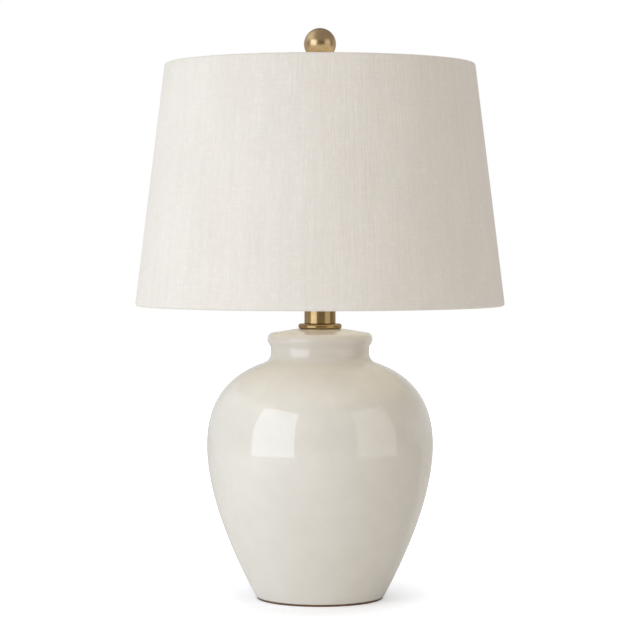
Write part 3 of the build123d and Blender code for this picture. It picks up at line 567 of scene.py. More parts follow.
def jar_knots():
    """The jar's outline from under its foot, up the wall and over the rim to the hole in its top."""
    base, top = heights("ceramic_jar")
    up = Vector((0, 1))
    across = Vector((1, 0))
    lean = Vector((sin(FOOT_LEAN), cos(FOOT_LEAN)))
    inwards = Vector((-cos(SHOULDER_SLOPE), sin(SHOULDER_SLOPE)))
    dome = Vector((-cos(DOME_SLOPE), sin(DOME_SLOPE)))
    middle = Vector((0, base))
    foot = Vector((FOOT_RADIUS, base))
    under = foot - across * FOOT_ROUND
    foot_end = foot + lean * FOOT_ROUND
    belly = Vector((radius_of("ceramic_jar"), base + BELLY_RISE))
    root = Vector((NECK_RADIUS, belly.y + SHOULDER_RISE))
    shoulder = Vector((
        NECK_RADIUS + NECK_ROOT_CURVE * (1 - sin(SHOULDER_SLOPE)),
        root.y - NECK_ROOT_CURVE * cos(SHOULDER_SLOPE),
    ))
    lip_start = root + up * NECK_RISE
    lip = lip_start + Vector((LIP_OVERHANG, LIP_RISE))
    rim = lip + Vector((LIP_ROUND * (sin(DOME_SLOPE) - 1), LIP_ROUND * cos(DOME_SLOPE)))
    seat = Vector((SEAT_RADIUS, top))
    hole = Vector((TOP_HOLE_RADIUS, top))
    root_pull = arc_handle(NECK_ROOT_CURVE, pi / 2 - SHOULDER_SLOPE)
    rim_pull = arc_handle(LIP_ROUND, pi / 2 - DOME_SLOPE)
    foot_pull = FOOT_ROUND / 2
    return [
        (middle, middle, middle + (under - middle) / 3),
        (under, under - (under - middle) / 3, under + across * foot_pull),
        (foot_end, foot_end - lean * foot_pull, foot + lean * FOOT_PULL),
        (belly, belly - up * BELLY_PULL_DOWN, belly + up * BELLY_PULL_UP),
        (shoulder, shoulder - inwards * SHOULDER_PULL, shoulder + inwards * root_pull),
        (root, root - up * root_pull, root + up * NECK_RISE / 3),
        (lip_start, lip_start - up * NECK_RISE / 3, lip_start + up * LIP_RISE / 2),
        (lip, lip - up * LIP_RISE / 2, lip + up * rim_pull),
        (rim, rim - dome * rim_pull, rim + (seat - rim) / 3),
        (seat, seat - (seat - rim) / 3, seat + (hole - seat) / 3),
        (hole, hole - (hole - seat) / 3, hole),
    ]


def along_cord():
    """The transform that stands a piece made on the Z axis in the cord's hole, pointing out of the jar."""
    turn = Vector(cord_entry["axis"]).to_track_quat("Z", "X").to_matrix().to_4x4()
    return Matrix.Translation(cord_entry["pos_m"]) @ turn


def cut_away(piece, bm):
    """Cut the shape in a bmesh out of a piece."""
    cutter = add_mesh("cutter", bm)
    mesh = cutter.data
    cut = piece.modifiers.new("cut", "BOOLEAN")
    cut.operation = "DIFFERENCE"
    cut.object = cutter
    finished = piece.evaluated_get(bpy.context.evaluated_depsgraph_get())
    whole, piece.data = piece.data, bpy.data.meshes.new_from_object(finished)
    piece.modifiers.clear()
    bpy.data.objects.remove(cutter)
    bpy.data.meshes.remove(mesh)
    bpy.data.meshes.remove(whole)
    print(piece.name, "cut to", len(piece.data.polygons), "faces")


def drill(piece, radius, depth):
    """Cut a blind round hole into a piece along the cord's line."""
    bm = bmesh.new()
    bmesh.ops.create_cone(
        bm, cap_ends=True, segments=DRILL_SIDES, radius1=radius, radius2=radius, depth=2 * depth,
        matrix=along_cord(),
    )
    cut_away(piece, bm)


def make_jar():
    bm = draw_curve(jar_knots(), JAR_CURVE_STEPS)
    mouth = max(bm.verts, key=lambda vert: (vert.co.z, -vert.co.x))
    floor = bm.verts.new(mouth.co - Vector((0, 0, TOP_HOLE_DEPTH)))
    middle = bm.verts.new((0, 0, floor.co.z))
    bm.edges.new((mouth, floor))
    bm.edges.new((floor, middle))
    jar = add_piece("glazed_jar", spin_round(bm, FINE_STEPS), "base", glaze, "cream_glaze", "ceramic_jar")
    drill(jar, CORD_HOLE_RADIUS, CORD_HOLE_DEPTH)


make_jar()


# %% [markdown]
# A disc of felt is glued under the foot, a little smaller than it, and shows as a thin brown line. It is a
# disc with softened edges. Felt is pressed fibre, so its finish is two noises, one for the fibres and one for
# uneven dye, with no shine at all. The card inside the lamp holder will use the same recipe.

# %% Felt under the foot
FELT_ROUND = 0.0005


def make_fibrous(name, grain, tones, patches, dullest, bump, **sockets):
    """Pressed fibres: a fine noise between two tones, made duller in broad patches by a second noise."""
    finish, tree, shader = start_finish(name, **sockets)
    where = in_place(tree)
    fibres = add_noise(tree, where, grain, detail=5.0, roughness=0.7)
    brown = add_ramp(tree, fibres, (0.28, tones[0]), (0.72, tones[1]))
    uneven = add_ramp(tree, add_noise(tree, where, *patches), (0.3, dullest), (0.7, 1.0))
    tree.links.new(multiply_all(tree, brown, uneven), shader.inputs["Base Color"])
    add_bump(tree, shader, fibres, *bump)
    return finish


felt = make_fibrous(
    "brown_felt", grain=0.0006, tones=((0.115, 0.068, 0.036), (0.235, 0.150, 0.088)), patches=(0.012, 3.0),
    dullest=0.82, bump=(0.6, 0.0004), Roughness=1.0, Specular_IOR_Level=0.1, Sheen_Weight=0.2,
)
felt_low, felt_high = heights("felt_pad")
felt_radius = radius_of("felt_pad")
felt_outline = draw_corners(
    (0, felt_low), (felt_radius, felt_low, FELT_ROUND), (felt_radius, felt_high, FELT_ROUND), (0, felt_high)
)
add_piece("felt_foot", spin_round(felt_outline), "base", felt, "brown_felt", "felt_pad")


# %% [markdown]
# The cord leaves the jar through a moulded bushing. It is drawn on the Z axis like any turned piece, with a
# rounded flange outside and a bore right through, and then stood in the hole by the transform that drilled
# it. Its plastic is the first of several plain finishes. They share one recipe: a slow noise that drifts
# between two tones, and a fine one for the skin, which makes the roughness uneven and leaves a faint bump.

# %% Cord bushing
BUSHING_BORE = 0.0035
BUSHING_RADIUS = 0.0055
BUSHING_FLANGE_RADIUS = 0.0080
BUSHING_FLANGE_THICKNESS = 0.0022
BUSHING_FLANGE_SINK = 0.0009
BUSHING_LENGTH = 0.0095
BUSHING_ROUND = 0.0007
MOULDING_SHADE = 0.86
MOULDING_BLOOM = 0.15


def make_plain(name, grain, tones, skin, roughness, bump, detail=3.0, skin_detail=2.0, **sockets):
    """A slow noise between two tones under a fine skin between two values of roughness."""
    finish, tree, shader = start_finish(name, **sockets)
    where = in_place(tree)
    drift = add_noise(tree, where, grain, detail)
    fine = add_noise(tree, where, skin, skin_detail)
    for noise, ends, socket in ((drift, tones, "Base Color"), (fine, roughness, "Roughness")):
        tree.links.new(add_ramp(tree, noise, (0.3, ends[0]), (0.7, ends[1])), shader.inputs[socket])
    add_bump(tree, shader, fine, *bump)
    return finish


def make_moulding(name, colour, roughness):
    """Moulded plastic: even in colour, with a fine texture from the mould."""
    dark = tuple(MOULDING_SHADE * value for value in colour)
    return make_plain(
        name, grain=0.006, tones=(dark, colour), skin=0.0005,
        roughness=(roughness, roughness + MOULDING_BLOOM), bump=(0.15, 0.00008), Specular_IOR_Level=0.4,
    )


bushing_plastic = make_moulding("bushing_plastic", (0.62, 0.58, 0.49), 0.38)
bushing = spin_round(draw_corners(
    (BUSHING_BORE, -BUSHING_LENGTH),
    (BUSHING_RADIUS, -BUSHING_LENGTH),
    (BUSHING_RADIUS, -BUSHING_FLANGE_SINK),
    (BUSHING_FLANGE_RADIUS, -BUSHING_FLANGE_SINK),
    (BUSHING_FLANGE_RADIUS, BUSHING_FLANGE_THICKNESS, BUSHING_ROUND),
    (BUSHING_BORE, BUSHING_FLANGE_THICKNESS, BUSHING_ROUND),
    closed=True,
))
bmesh.ops.transform(bushing, matrix=along_cord(), verts=bushing.verts[:])
add_piece("cord_bushing_moulding", bushing, "base", bushing_plastic, "bushing_plastic", "cord_bushing")


# %% [markdown]
# The brass has been darkened and then rubbed back, so it is satin rather than bright. Its base colour drifts
# between brown and gold, faint lines left by the lathe run round each piece, the rims are tinted dark, and a
# thin lacquer keeps the highlights pale. One recipe gives three brasses: a dark one for the neck and the
# harp, a paler one for the finial, and a plainer, brighter one for the lamp holder.

# %% Aged brass
BRASS_RIM = (0.30, 0.22, 0.12, 1.0)
LACQUER_IOR = 2.1
TURNING_ROUGHNESS = 0.09


def make_brass(name, gold, brown, roughness, lacquer, lacquer_roughness):
    """Lacquered brass between two tones, with dark specks and the lathe's lines."""
    finish, tree, shader = start_finish(
        name, Metallic=1.0, Specular_Tint=BRASS_RIM, Coat_Weight=lacquer, Coat_Roughness=lacquer_roughness,
        Coat_IOR=LACQUER_IOR,
    )
    where = in_place(tree)
    tarnish = add_noise(tree, where, 0.016, detail=5.0, roughness=0.6)
    specks = add_noise(tree, where, 0.0016, detail=3.0)
    turning = add_noise(tree, where, (0.02, 0.02, 0.0004), detail=2.0)
    tone = add_ramp(tree, tarnish, (0.30, brown), (0.66, gold))
    spotted = add_ramp(tree, specks, (0.26, 0.80), (0.42, 1.0))
    uneven = add_ramp(tree, turning, (0.3, roughness), (0.7, roughness + TURNING_ROUGHNESS))
    tree.links.new(multiply_all(tree, tone, spotted), shader.inputs["Base Color"])
    tree.links.new(uneven, shader.inputs["Roughness"])
    add_bump(tree, shader, turning, strength=0.10, depth=0.00005)
    return finish


aged_brass = make_brass(
    "aged_brass", gold=(0.42, 0.26, 0.07), brown=(0.34, 0.205, 0.05), roughness=0.19,
    lacquer=0.6, lacquer_roughness=0.07,
)
satin_brass = make_brass(
    "satin_brass", gold=(0.66, 0.46, 0.215), brown=(0.54, 0.355, 0.145), roughness=0.27,
    lacquer=0.8, lacquer_roughness=0.24,
)
holder_brass = make_brass(
    "holder_brass", gold=(0.72, 0.55, 0.27), brown=(0.60, 0.44, 0.20), roughness=0.20,
    lacquer=0.3, lacquer_roughness=0.15,
)
print("three brasses")


# %% [markdown]
# The collar and the neck tube are the brass that shows under the shade. The collar is a thick disc with
# generous rounds, and the neck is a plain tube with its top edge broken. Both are corners spun round, with
# the rounds made as bevels of the outline, so that the highlights on the edges are geometry.

# %% Collar and neck
COLLAR_ROUND = 0.0023
NECK_TUBE_ROUND = 0.0008
NECK_FOOT_ROUND = 0.0003
PIPE_HOLE_RADIUS = 0.0053

collar_low = heights("ceramic_jar")[1]
collar_radius = radius_of("check_ring")
tube_low, tube_high = heights("neck_tube")
tube_radius = radius_of("neck_tube")
collar = draw_corners(
    (PIPE_HOLE_RADIUS, collar_low),
    (collar_radius, collar_low, COLLAR_ROUND),
    (collar_radius, tube_low, COLLAR_ROUND),
    (PIPE_HOLE_RADIUS, tube_low),
    closed=True,
)
add_piece("brass_collar", spin_round(collar), "base", aged_brass, "aged_brass", "check_ring")
neck = draw_corners(
    (PIPE_HOLE_RADIUS, tube_low),
    (tube_radius, tube_low, NECK_FOOT_ROUND),
    (tube_radius, tube_high, NECK_TUBE_ROUND),
    (PIPE_HOLE_RADIUS, tube_high),
    closed=True,
)
add_piece("brass_neck", spin_round(neck), "base", aged_brass, "aged_brass", "neck_tube")


# %% [markdown]
# The finial screws down on the shade. Its foot is a turned spool: a flange, a waist and a cup. The ball sits
# in the cup, and its outline is half a circle, from its lowest point up to its top.

# %% Finial
BALL_RADIUS = 0.0175
FLANGE_RADIUS = 0.009
FLANGE_THICKNESS = 0.0024
WAIST_RADIUS = 0.0056
WAIST_START = 0.0022
WAIST_START_ROUND = 0.0016
WAIST_END = 0.0030
WAIST_END_ROUND = 0.0018
CUP_RADIUS = 0.0072
CUP_ROUND = 0.0005
CUP_EDGE = 0.0004
CUP_LIP = 0.0016
CUP_SEAT = 0.0001
BALL_STEPS = 64
STUD_HOLE_RADIUS = 0.00326

spool_low, ball_high = heights("finial_base")[0], heights("finial_ball")[1]
ball_middle = ball_high - BALL_RADIUS
cup_high = ball_middle - (BALL_RADIUS**2 - CUP_RADIUS**2) ** 0.5


def make_spool():
    """The finial's foot: a flange with rounded edges, a hollow waist and the cup under the ball."""
    bm = draw_corners(
        (STUD_HOLE_RADIUS, spool_low),
        (FLANGE_RADIUS, spool_low, CUP_ROUND),
        (FLANGE_RADIUS, spool_low + FLANGE_THICKNESS, CUP_ROUND),
        (WAIST_RADIUS, spool_low + FLANGE_THICKNESS + WAIST_START, WAIST_START_ROUND),
        (WAIST_RADIUS, cup_high - WAIST_END, WAIST_END_ROUND),
        (CUP_RADIUS, cup_high - CUP_EDGE, CUP_ROUND),
        (CUP_RADIUS - CUP_LIP, cup_high - CUP_SEAT),
    )
    add_piece("finial_spool", spin_round(bm), "finial", satin_brass, "aged_brass", "finial_base")


def make_ball():
    """The ball: a half circle from its lowest point to its top, spun round."""
    bm = bmesh.new()
    start = bm.verts.new((0, 0, ball_middle - BALL_RADIUS))
    bmesh.ops.spin(bm, geom=[start], cent=(0, 0, ball_middle), axis=(0, 1, 0), angle=-pi, steps=BALL_STEPS)
    add_piece("finial_knob", spin_round(bm), "finial", satin_brass, "aged_brass", "finial_ball")


make_spool()
make_ball()


# %% [markdown]
# Linen is woven from yarn that is thick in one place and thin in the next. The thick places, called slubs,
# show as short pale streaks along both threads. The pattern has to follow the cloth, so it reads a UV map in
# metres: along the cloth's width first, and then up its height. Each layer below is a noise, most of them
# drawn out along one thread, given by its grain, its detail and the two tones that it runs between. A fine
# weave, the warp and some broader ridges are pressed into the surface as bumps. A faint glow is painted into
# the cloth: painted light that stands for the light that comes through it.

# %% Natural linen
LINEN = (0.778, 0.760, 0.726)
# Painted light: the colour and strength of the cloth's faint glow.
PAINTED_GLOW = (1.0, 0.98, 0.94, 1)
PAINTED_GLOW_STRENGTH = 0.11
LAYERS = {
    "warp": ((0.0017, 0.055, 1), 2.0, (0.30, (0.970, 0.965, 0.957)), (0.62, 1.0)),
    "weft": ((0.022, 0.0009, 1), 2.0, (0.30, (0.970, 0.966, 0.96)), (0.60, 1.0)),
    "upright slubs": ((0.0026, 0.0092, 1), 1.5, (0.48, (0.958, 0.955, 0.949)), (0.72, 1.0)),
    "level slubs": ((0.0105, 0.0027, 1), 1.5, (0.48, (0.976, 0.973, 0.969)), (0.72, 1.0)),
    "flecks": ((0.0022, 0.0013, 1), 1.0, (0.20, (0.90, 0.885, 0.855)), (0.30, 1.0)),
    "bands": ((0.007, 0.16, 1), 3.0, (0.35, (0.978, 0.972, 0.966)), (0.62, 1.0)),
    "clouds": ((0.06, 0.09, 1), 2.0, (0.30, (0.97, 0.96, 0.95)), (0.70, (1.0, 0.995, 0.99))),
    "dye": ((0.031, 0.043, 1), 2.0, (0.35, (1.0, 0.988, 0.985)), (0.65, (0.99, 1.0, 0.98))),
}
RIDGES = (0.0036, 0.034, 1)
WEAVE_PITCH = 0.0009
WAVE_PERIOD = 2 * pi / 20


def make_linen():
    """The layers multiplied together over the cloth's colour, with three bumps."""
    # The emission is painted light, a faint glow for the light that comes through the cloth.
    finish, tree, shader = start_finish(
        "natural_linen", Roughness=0.88, Diffuse_Roughness=0.3, Specular_IOR_Level=0.1, Sheen_Weight=0.04,
        Sheen_Roughness=0.5, Emission_Color=PAINTED_GLOW, Emission_Strength=PAINTED_GLOW_STRENGTH,
    )
    cloth = add_node(tree, "UVMap", uv_map="cloth").outputs["UV"]
    noises = {}
    tones = []
    for name, (grain, detail, low, high) in LAYERS.items():
        noises[name] = add_noise(tree, cloth, grain, detail)
        tones.append(add_ramp(tree, noises[name], low, high))
    dyed = mix_colours(tree, 1.0, multiply_all(tree, *tones), LINEN, "MULTIPLY")
    tree.links.new(dyed, shader.inputs["Base Color"])
    weave = {"Vector": cloth, "Scale": WAVE_PERIOD / WEAVE_PITCH, "Distortion": 1.2, "Detail": 1.0}
    upright = add_node(tree, "TexWave", weave, bands_direction="X").outputs["Fac"]
    level = add_node(tree, "TexWave", weave, bands_direction="Y").outputs["Fac"]
    crossed = add_node(tree, "Math", {0: upright, 1: level}, operation="MAXIMUM").outputs["Value"]
    add_bump(tree, shader, crossed, strength=0.26, depth=0.00025)
    add_bump(tree, shader, noises["warp"], strength=0.50, depth=0.0004)
    add_bump(tree, shader, add_noise(tree, cloth, RIDGES, detail=1.5), strength=0.34, depth=0.0011)
    return finish


linen = make_linen()
print("linen has", len(linen.node_tree.nodes), "nodes")


# %% [markdown]
# The shade's cloth is one sheet. It covers the cone and is rolled inwards round a wire ring at each edge,
# where its hem is glued back down. The outline is one line of points: the hem, half a turn over the ring, the
# long face, half a turn under the other ring and the second hem. Spinning it makes the sheet, and a Solidify
# modifier gives it the thickness of cloth. The spin starts at the back, and the cloth is measured from there
# both ways.

# %% Linen shade
SHADE_TOP_RADIUS = 0.1691
SHADE_BOTTOM_RADIUS = 0.2019
SHADE_HEIGHT = 0.2637
SPIDER_DROP = 0.010
CLOTH = 0.0007
LINER = 0.0005
HEM_FOLD = 0.0028
HEM_WIDTH = 0.010
HEM_SHOULDER = 0.0022
SHADE_STEPS = 240
FACE_STEPS = 24
FOLD_STEPS = 10
ARM_TURNS = (90, 210, 330)

shade_high = heights("spider_hub")[1] + SPIDER_DROP
shade_low = shade_high - SHADE_HEIGHT
lean = atan2(SHADE_BOTTOM_RADIUS - SHADE_TOP_RADIUS, SHADE_HEIGHT)
slant = hypot(SHADE_BOTTOM_RADIUS - SHADE_TOP_RADIUS, SHADE_HEIGHT)
roll = HEM_FOLD - CLOTH / 2
back_of_roll = HEM_FOLD + roll
glued = CLOTH + LINER + CLOTH / 2


def on_slant(depth, along):
    """A point in the XZ plane at a depth inside the shade's face and a distance up its slant."""
    return Vector((
        SHADE_BOTTOM_RADIUS - along * sin(lean) - depth * cos(lean),
        0,
        shade_low + along * cos(lean) - depth * sin(lean),
    ))


def slant_place(point):
    """The depth inside the shade's face and the distance up its slant of any point."""
    inwards = SHADE_BOTTOM_RADIUS - hypot(point.x, point.y)
    rise = point.z - shade_low
    return inwards * cos(lean) - rise * sin(lean), inwards * sin(lean) + rise * cos(lean)


def draw_on(bm, start, place):
    """Draw a straight edge from a vertex to a place."""
    end = bm.verts.new(place)
    bm.edges.new((start, end))
    return end


def roll_over(bm, start, along):
    """Draw half a turn from a vertex round the wire ring that lies at a distance up the slant."""
    made = bmesh.ops.spin(
        bm, geom=[start], cent=on_slant(HEM_FOLD, along), axis=(0, 1, 0), angle=pi, steps=FOLD_STEPS
    )
    return next(part for part in made["geom_last"] if isinstance(part, bmesh.types.BMVert))


def draw_sheet():
    """The cloth's outline, from the hem at the top to the hem at the bottom."""
    bm = bmesh.new()
    high, low = slant - HEM_FOLD, HEM_FOLD
    end = bm.verts.new(on_slant(glued, slant - HEM_WIDTH))
    end = draw_on(bm, end, on_slant(back_of_roll, high - HEM_SHOULDER))
    end = draw_on(bm, end, on_slant(back_of_roll, high))
    end = roll_over(bm, end, high)
    for step in range(1, FACE_STEPS + 1):
        end = draw_on(bm, end, on_slant(CLOTH / 2, high + (low - high) * step / FACE_STEPS))
    end = roll_over(bm, end, low)
    end = draw_on(bm, end, on_slant(back_of_roll, low + HEM_SHOULDER))
    draw_on(bm, end, on_slant(glued, HEM_WIDTH))
    return bm


def turn_of(point):
    """The angle of a point round the shade, from the back."""
    return atan2(-point.x, point.y)


def map_cloth(bm):
    """Give each corner of each face its place on the cloth, in metres along and up it."""
    cloth = bm.loops.layers.uv.new("cloth")
    girth = (SHADE_TOP_RADIUS + SHADE_BOTTOM_RADIUS) / 2
    for face in bm.faces:
        middle = turn_of(face.calc_center_median())
        for loop in face.loops:
            turn = turn_of(loop.vert.co)
            if turn - middle > pi:
                turn -= 2 * pi
            elif middle - turn > pi:
                turn += 2 * pi
            loop[cloth].uv = (turn * girth, slant_place(loop.vert.co)[1])


def notch_hem(bm):
    """Cut the top hem where each of the spider's arms comes through to the ring."""
    arms = [Vector((cos(radians(turn)), sin(radians(turn)))) for turn in ARM_TURNS]
    cut = []
    for face in bm.faces:
        middle = face.calc_center_median()
        depth, along = slant_place(middle)
        outwards = middle.xy.normalized()
        at_arm = any((outwards - arm).length < pi / SHADE_STEPS for arm in arms)
        if at_arm and depth > HEM_FOLD / 2 and slant - HEM_WIDTH < along < slant - HEM_FOLD:
            cut.append(face)
    bmesh.ops.delete(bm, geom=cut, context="FACES")
    return len(cut)


def thicken(piece, thickness):
    """Give a sheet its thickness, half to each side."""
    solid = piece.modifiers.new("thickness", "SOLIDIFY")
    solid.thickness = thickness
    solid.offset = 0


def make_shade():
    bm = draw_sheet()
    start = Matrix.Rotation(pi / 2 + pi / SHADE_STEPS, 3, "Z")
    bmesh.ops.rotate(bm, verts=bm.verts[:], cent=(0, 0, 0), matrix=start)
    spin_round(bm, SHADE_STEPS)
    map_cloth(bm)
    print("hem faces cut away for the arms:", notch_hem(bm))
    shade = add_piece("linen_shade", bm, "shade", linen, "natural_linen", "shade_fabric")
    thicken(shade, CLOTH)
    return shade


shade = make_shade()


# %% [markdown]
# The sheet's two ends meet at the back, one lapped over the other and glued. All that shows of the lap is an
# upright edge, one thickness of cloth high. It is made as a short strip of the same outline that starts just
# under the surface and climbs off it as it comes round. Cut flat, the sheet is a wide bow: a slice of a ring
# as broad as the slant with its hems.

# %% Lap at the back
LAP_ANGLE = radians(7)
LAP_STEPS = 10
LAP_SINK = 0.0003
LAP_RISE = 0.0010


def make_lap():
    bm = draw_sheet()
    flat = [vert for vert in bm.verts if slant_place(vert.co)[0] > HEM_FOLD]
    bmesh.ops.delete(bm, geom=flat, context="VERTS")
    bmesh.ops.rotate(bm, verts=bm.verts[:], cent=(0, 0, 0), matrix=Matrix.Rotation(pi / 2, 3, "Z"))
    spin(bm, LAP_ANGLE, LAP_STEPS)
    bmesh.ops.recalc_face_normals(bm, faces=bm.faces[:])
    for vert in bm.verts:
        climb = abs(turn_of(vert.co)) / LAP_ANGLE
        along = slant_place(vert.co)[1]
        fold = min(max(along, HEM_FOLD), slant - HEM_FOLD)
        centre = on_slant(HEM_FOLD, fold)
        around_z = Matrix.Rotation(atan2(vert.co.y, vert.co.x), 3, "Z")
        outwards = (vert.co - around_z @ centre).normalized()
        vert.co += outwards * (climb * LAP_RISE - LAP_SINK)
    map_cloth(bm)
    lap = add_piece("linen_lap", bm, "shade", linen, "natural_linen")
    thicken(lap, CLOTH)
    return lap


lap = make_lap()


# %% [markdown]
# Behind the linen is a stiff sheet of white styrene, which keeps the cone round and throws the light about.
# It is the face alone, without hems, spun just inside the cloth. Its finish is smooth and a little glossy.

# %% Styrene liner
styrene = make_plain(
    "white_styrene", grain=0.03, tones=((0.83, 0.82, 0.79), (0.87, 0.86, 0.835)), skin=0.0012,
    roughness=(0.42, 0.55), bump=(0.08, 0.0001), Specular_IOR_Level=0.4,
)


def make_liner():
    bm = bmesh.new()
    middle = CLOTH + LINER / 2
    end = bm.verts.new(on_slant(middle, HEM_FOLD))
    for step in range(1, FACE_STEPS + 1):
        end = draw_on(bm, end, on_slant(middle, HEM_FOLD + (slant - 2 * HEM_FOLD) * step / FACE_STEPS))
    spin_round(bm, SHADE_STEPS)
    liner = add_piece("styrene_liner", bm, "shade", styrene, "white_styrene", "shade_liner")
    thicken(liner, LINER)


make_liner()


# %% [markdown]
# The shade hangs on a spider: a small pressed hub with three wire arms that run out to the top ring. The
# wires are round and bent already as solids, so they keep their shape and only get a finish, here a dipped
# white enamel that is glossy and not quite even. The hub is drawn again with its edges broken, as a pressed
# part's are.

# %% White enamel, hub and wires
HUB_HOLE_RADIUS = 0.0034
HUB_ROUND = 0.0006


def dress(finish, *nodes):
    """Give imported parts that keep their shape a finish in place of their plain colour."""
    for node in nodes:
        for slot in frame["nodes"][node].material_slots:
            slot.material = finish
    print(finish.name, "on", ", ".join(nodes))


enamel = make_plain(
    "white_wire", grain=0.009, tones=((0.72, 0.71, 0.68), (0.80, 0.795, 0.77)), skin=0.0010,
    roughness=(0.28, 0.40), bump=(0.15, 0.0001), Coat_Weight=0.5, Coat_Roughness=0.12,
)
dress(enamel, "spider_arms", "shade_top_ring", "shade_bottom_ring")
hub_low, hub_high = heights("spider_hub")
hub_radius = radius_of("spider_hub")
hub = draw_corners(
    (HUB_HOLE_RADIUS, hub_low, HUB_ROUND / 2),
    (hub_radius, hub_low, HUB_ROUND),
    (hub_radius, hub_high, HUB_ROUND),
    (HUB_HOLE_RADIUS, hub_high, HUB_ROUND / 2),
    closed=True,
)
add_piece("pressed_hub", spin_round(hub), "shade", enamel, "white_wire", "spider_hub")


# %% [markdown]
# The harp carries the spider. Its bow is a bent wire and stays as it is. On top of the bow sits a turned stud
# with a clasp, a pad for the hub and a spigot for the finial, and round each leg slides a locking sleeve. The
# sleeves are drawn once on the Z axis and moved out to each side, with two rolled grooves to grip by.

# %% Harp stud and locking sleeves
CLASP_RADIUS = 0.005
STUD_RADIUS = 0.003175
PAD_THICKNESS = 0.0025
STUD_ROUND = 0.0005
STUD_TIP = 0.0008
SLEEVE_INNER = 0.0025
SLEEVE_ROUND = 0.0004
GROOVE_DEPTH = 0.0003
GROOVE_WIDTH = 0.0012
GROOVES_AT = (0.0036, 0.0104)
SLEEVE_STEPS = 48

dress(aged_brass, "harp_bow", "harp_saddle", "top_nut")
stud_low, stud_high = heights("harp_stud")
pad_high = hub_low
pad_low = pad_high - PAD_THICKNESS
pad_radius = radius_of("harp_stud")
stud = draw_corners(
    (0, stud_low),
    (CLASP_RADIUS, stud_low, STUD_TIP),
    (CLASP_RADIUS, pad_low, STUD_ROUND),
    (pad_radius, pad_low, STUD_ROUND),
    (pad_radius, pad_high, STUD_ROUND),
    (STUD_RADIUS, pad_high),
    (STUD_RADIUS, stud_high, STUD_TIP),
    (0, stud_high),
)
add_piece("turned_stud", spin_round(stud), "harp", aged_brass, "aged_brass", "harp_stud")


def make_sleeve(side):
    node = "harp_ferrule_" + side
    low, high = heights(node)
    outer = radius_of(node)
    grooved = []
    for start in GROOVES_AT:
        half = GROOVE_WIDTH / 2
        grooved += [
            (outer, low + start - half),
            (outer - GROOVE_DEPTH, low + start, GROOVE_DEPTH),
            (outer, low + start + half),
        ]
    bm = draw_corners(
        (SLEEVE_INNER, low, SLEEVE_ROUND / 2),
        (outer, low, SLEEVE_ROUND),
        *grooved,
        (outer, high, SLEEVE_ROUND),
        (SLEEVE_INNER, high, SLEEVE_ROUND / 2),
        closed=True,
    )
    spin_round(bm, SLEEVE_STEPS)
    corner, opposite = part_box(node)
    bmesh.ops.translate(bm, verts=bm.verts[:], vec=((corner[0] + opposite[0]) / 2, 0, 0))
    add_piece("sleeve_" + side, bm, "ferrule_" + side, aged_brass, "aged_brass", node)


make_sleeve("left")
make_sleeve("right")


# %% [markdown]
# The lamp holder's case is spun brass in two halves: a cap that swells from a narrow hub, and a plain shell
# that presses into it, stiffened by a rolled ring and a rolled mouth. Rounding the corners of the cap's
# outline by several millimetres gives it the soft bell shape of a spun part. The slot for the switch is cut
# afterwards.

# %% Lamp holder's case
HOLDER_HOLE_RADIUS = 0.00516
HOLDER_HUB_RADIUS = 0.0076
HOLDER_HUB_LENGTH = 0.008
DOME_RISE = 0.011
CAP_WALL = 0.0009
CAP_FLOOR = 0.0014
BELL_ROUND = 0.0045
LIP_ROLL = 0.0004
SHELL_WALL = 0.0005
SHELL_RADIUS = 0.0155
RING_AT = 0.012
RING_ROLL = 0.0005
SLOT_WIDTH = 0.0056

cap_low, cap_high = heights("holder_cap")
cap_radius = radius_of("holder_cap")
shell_low, shell_high = heights("holder_shell")
hub_end = cap_low + HOLDER_HUB_LENGTH
bell_end = hub_end + DOME_RISE


def make_cap():
    bm = draw_corners(
        (HOLDER_HOLE_RADIUS, cap_low),
        (HOLDER_HUB_RADIUS, cap_low, LIP_ROLL),
        (HOLDER_HUB_RADIUS, hub_end, BELL_ROUND),
        (cap_radius, bell_end, BELL_ROUND),
        (cap_radius, cap_high - 3 * LIP_ROLL),
        (cap_radius + LIP_ROLL, cap_high - 2 * LIP_ROLL, LIP_ROLL / 2),
        (cap_radius + LIP_ROLL, cap_high - LIP_ROLL, LIP_ROLL / 2),
        (cap_radius - CAP_WALL / 2, cap_high, LIP_ROLL / 2),
        (cap_radius - CAP_WALL, cap_high - LIP_ROLL),
        (cap_radius - CAP_WALL, bell_end),
        (HOLDER_HUB_RADIUS, hub_end + CAP_FLOOR),
        (HOLDER_HOLE_RADIUS, hub_end + CAP_FLOOR),
        closed=True,
    )
    add_piece("spun_cap", spin_round(bm), "base", holder_brass, "holder_brass", "holder_cap")


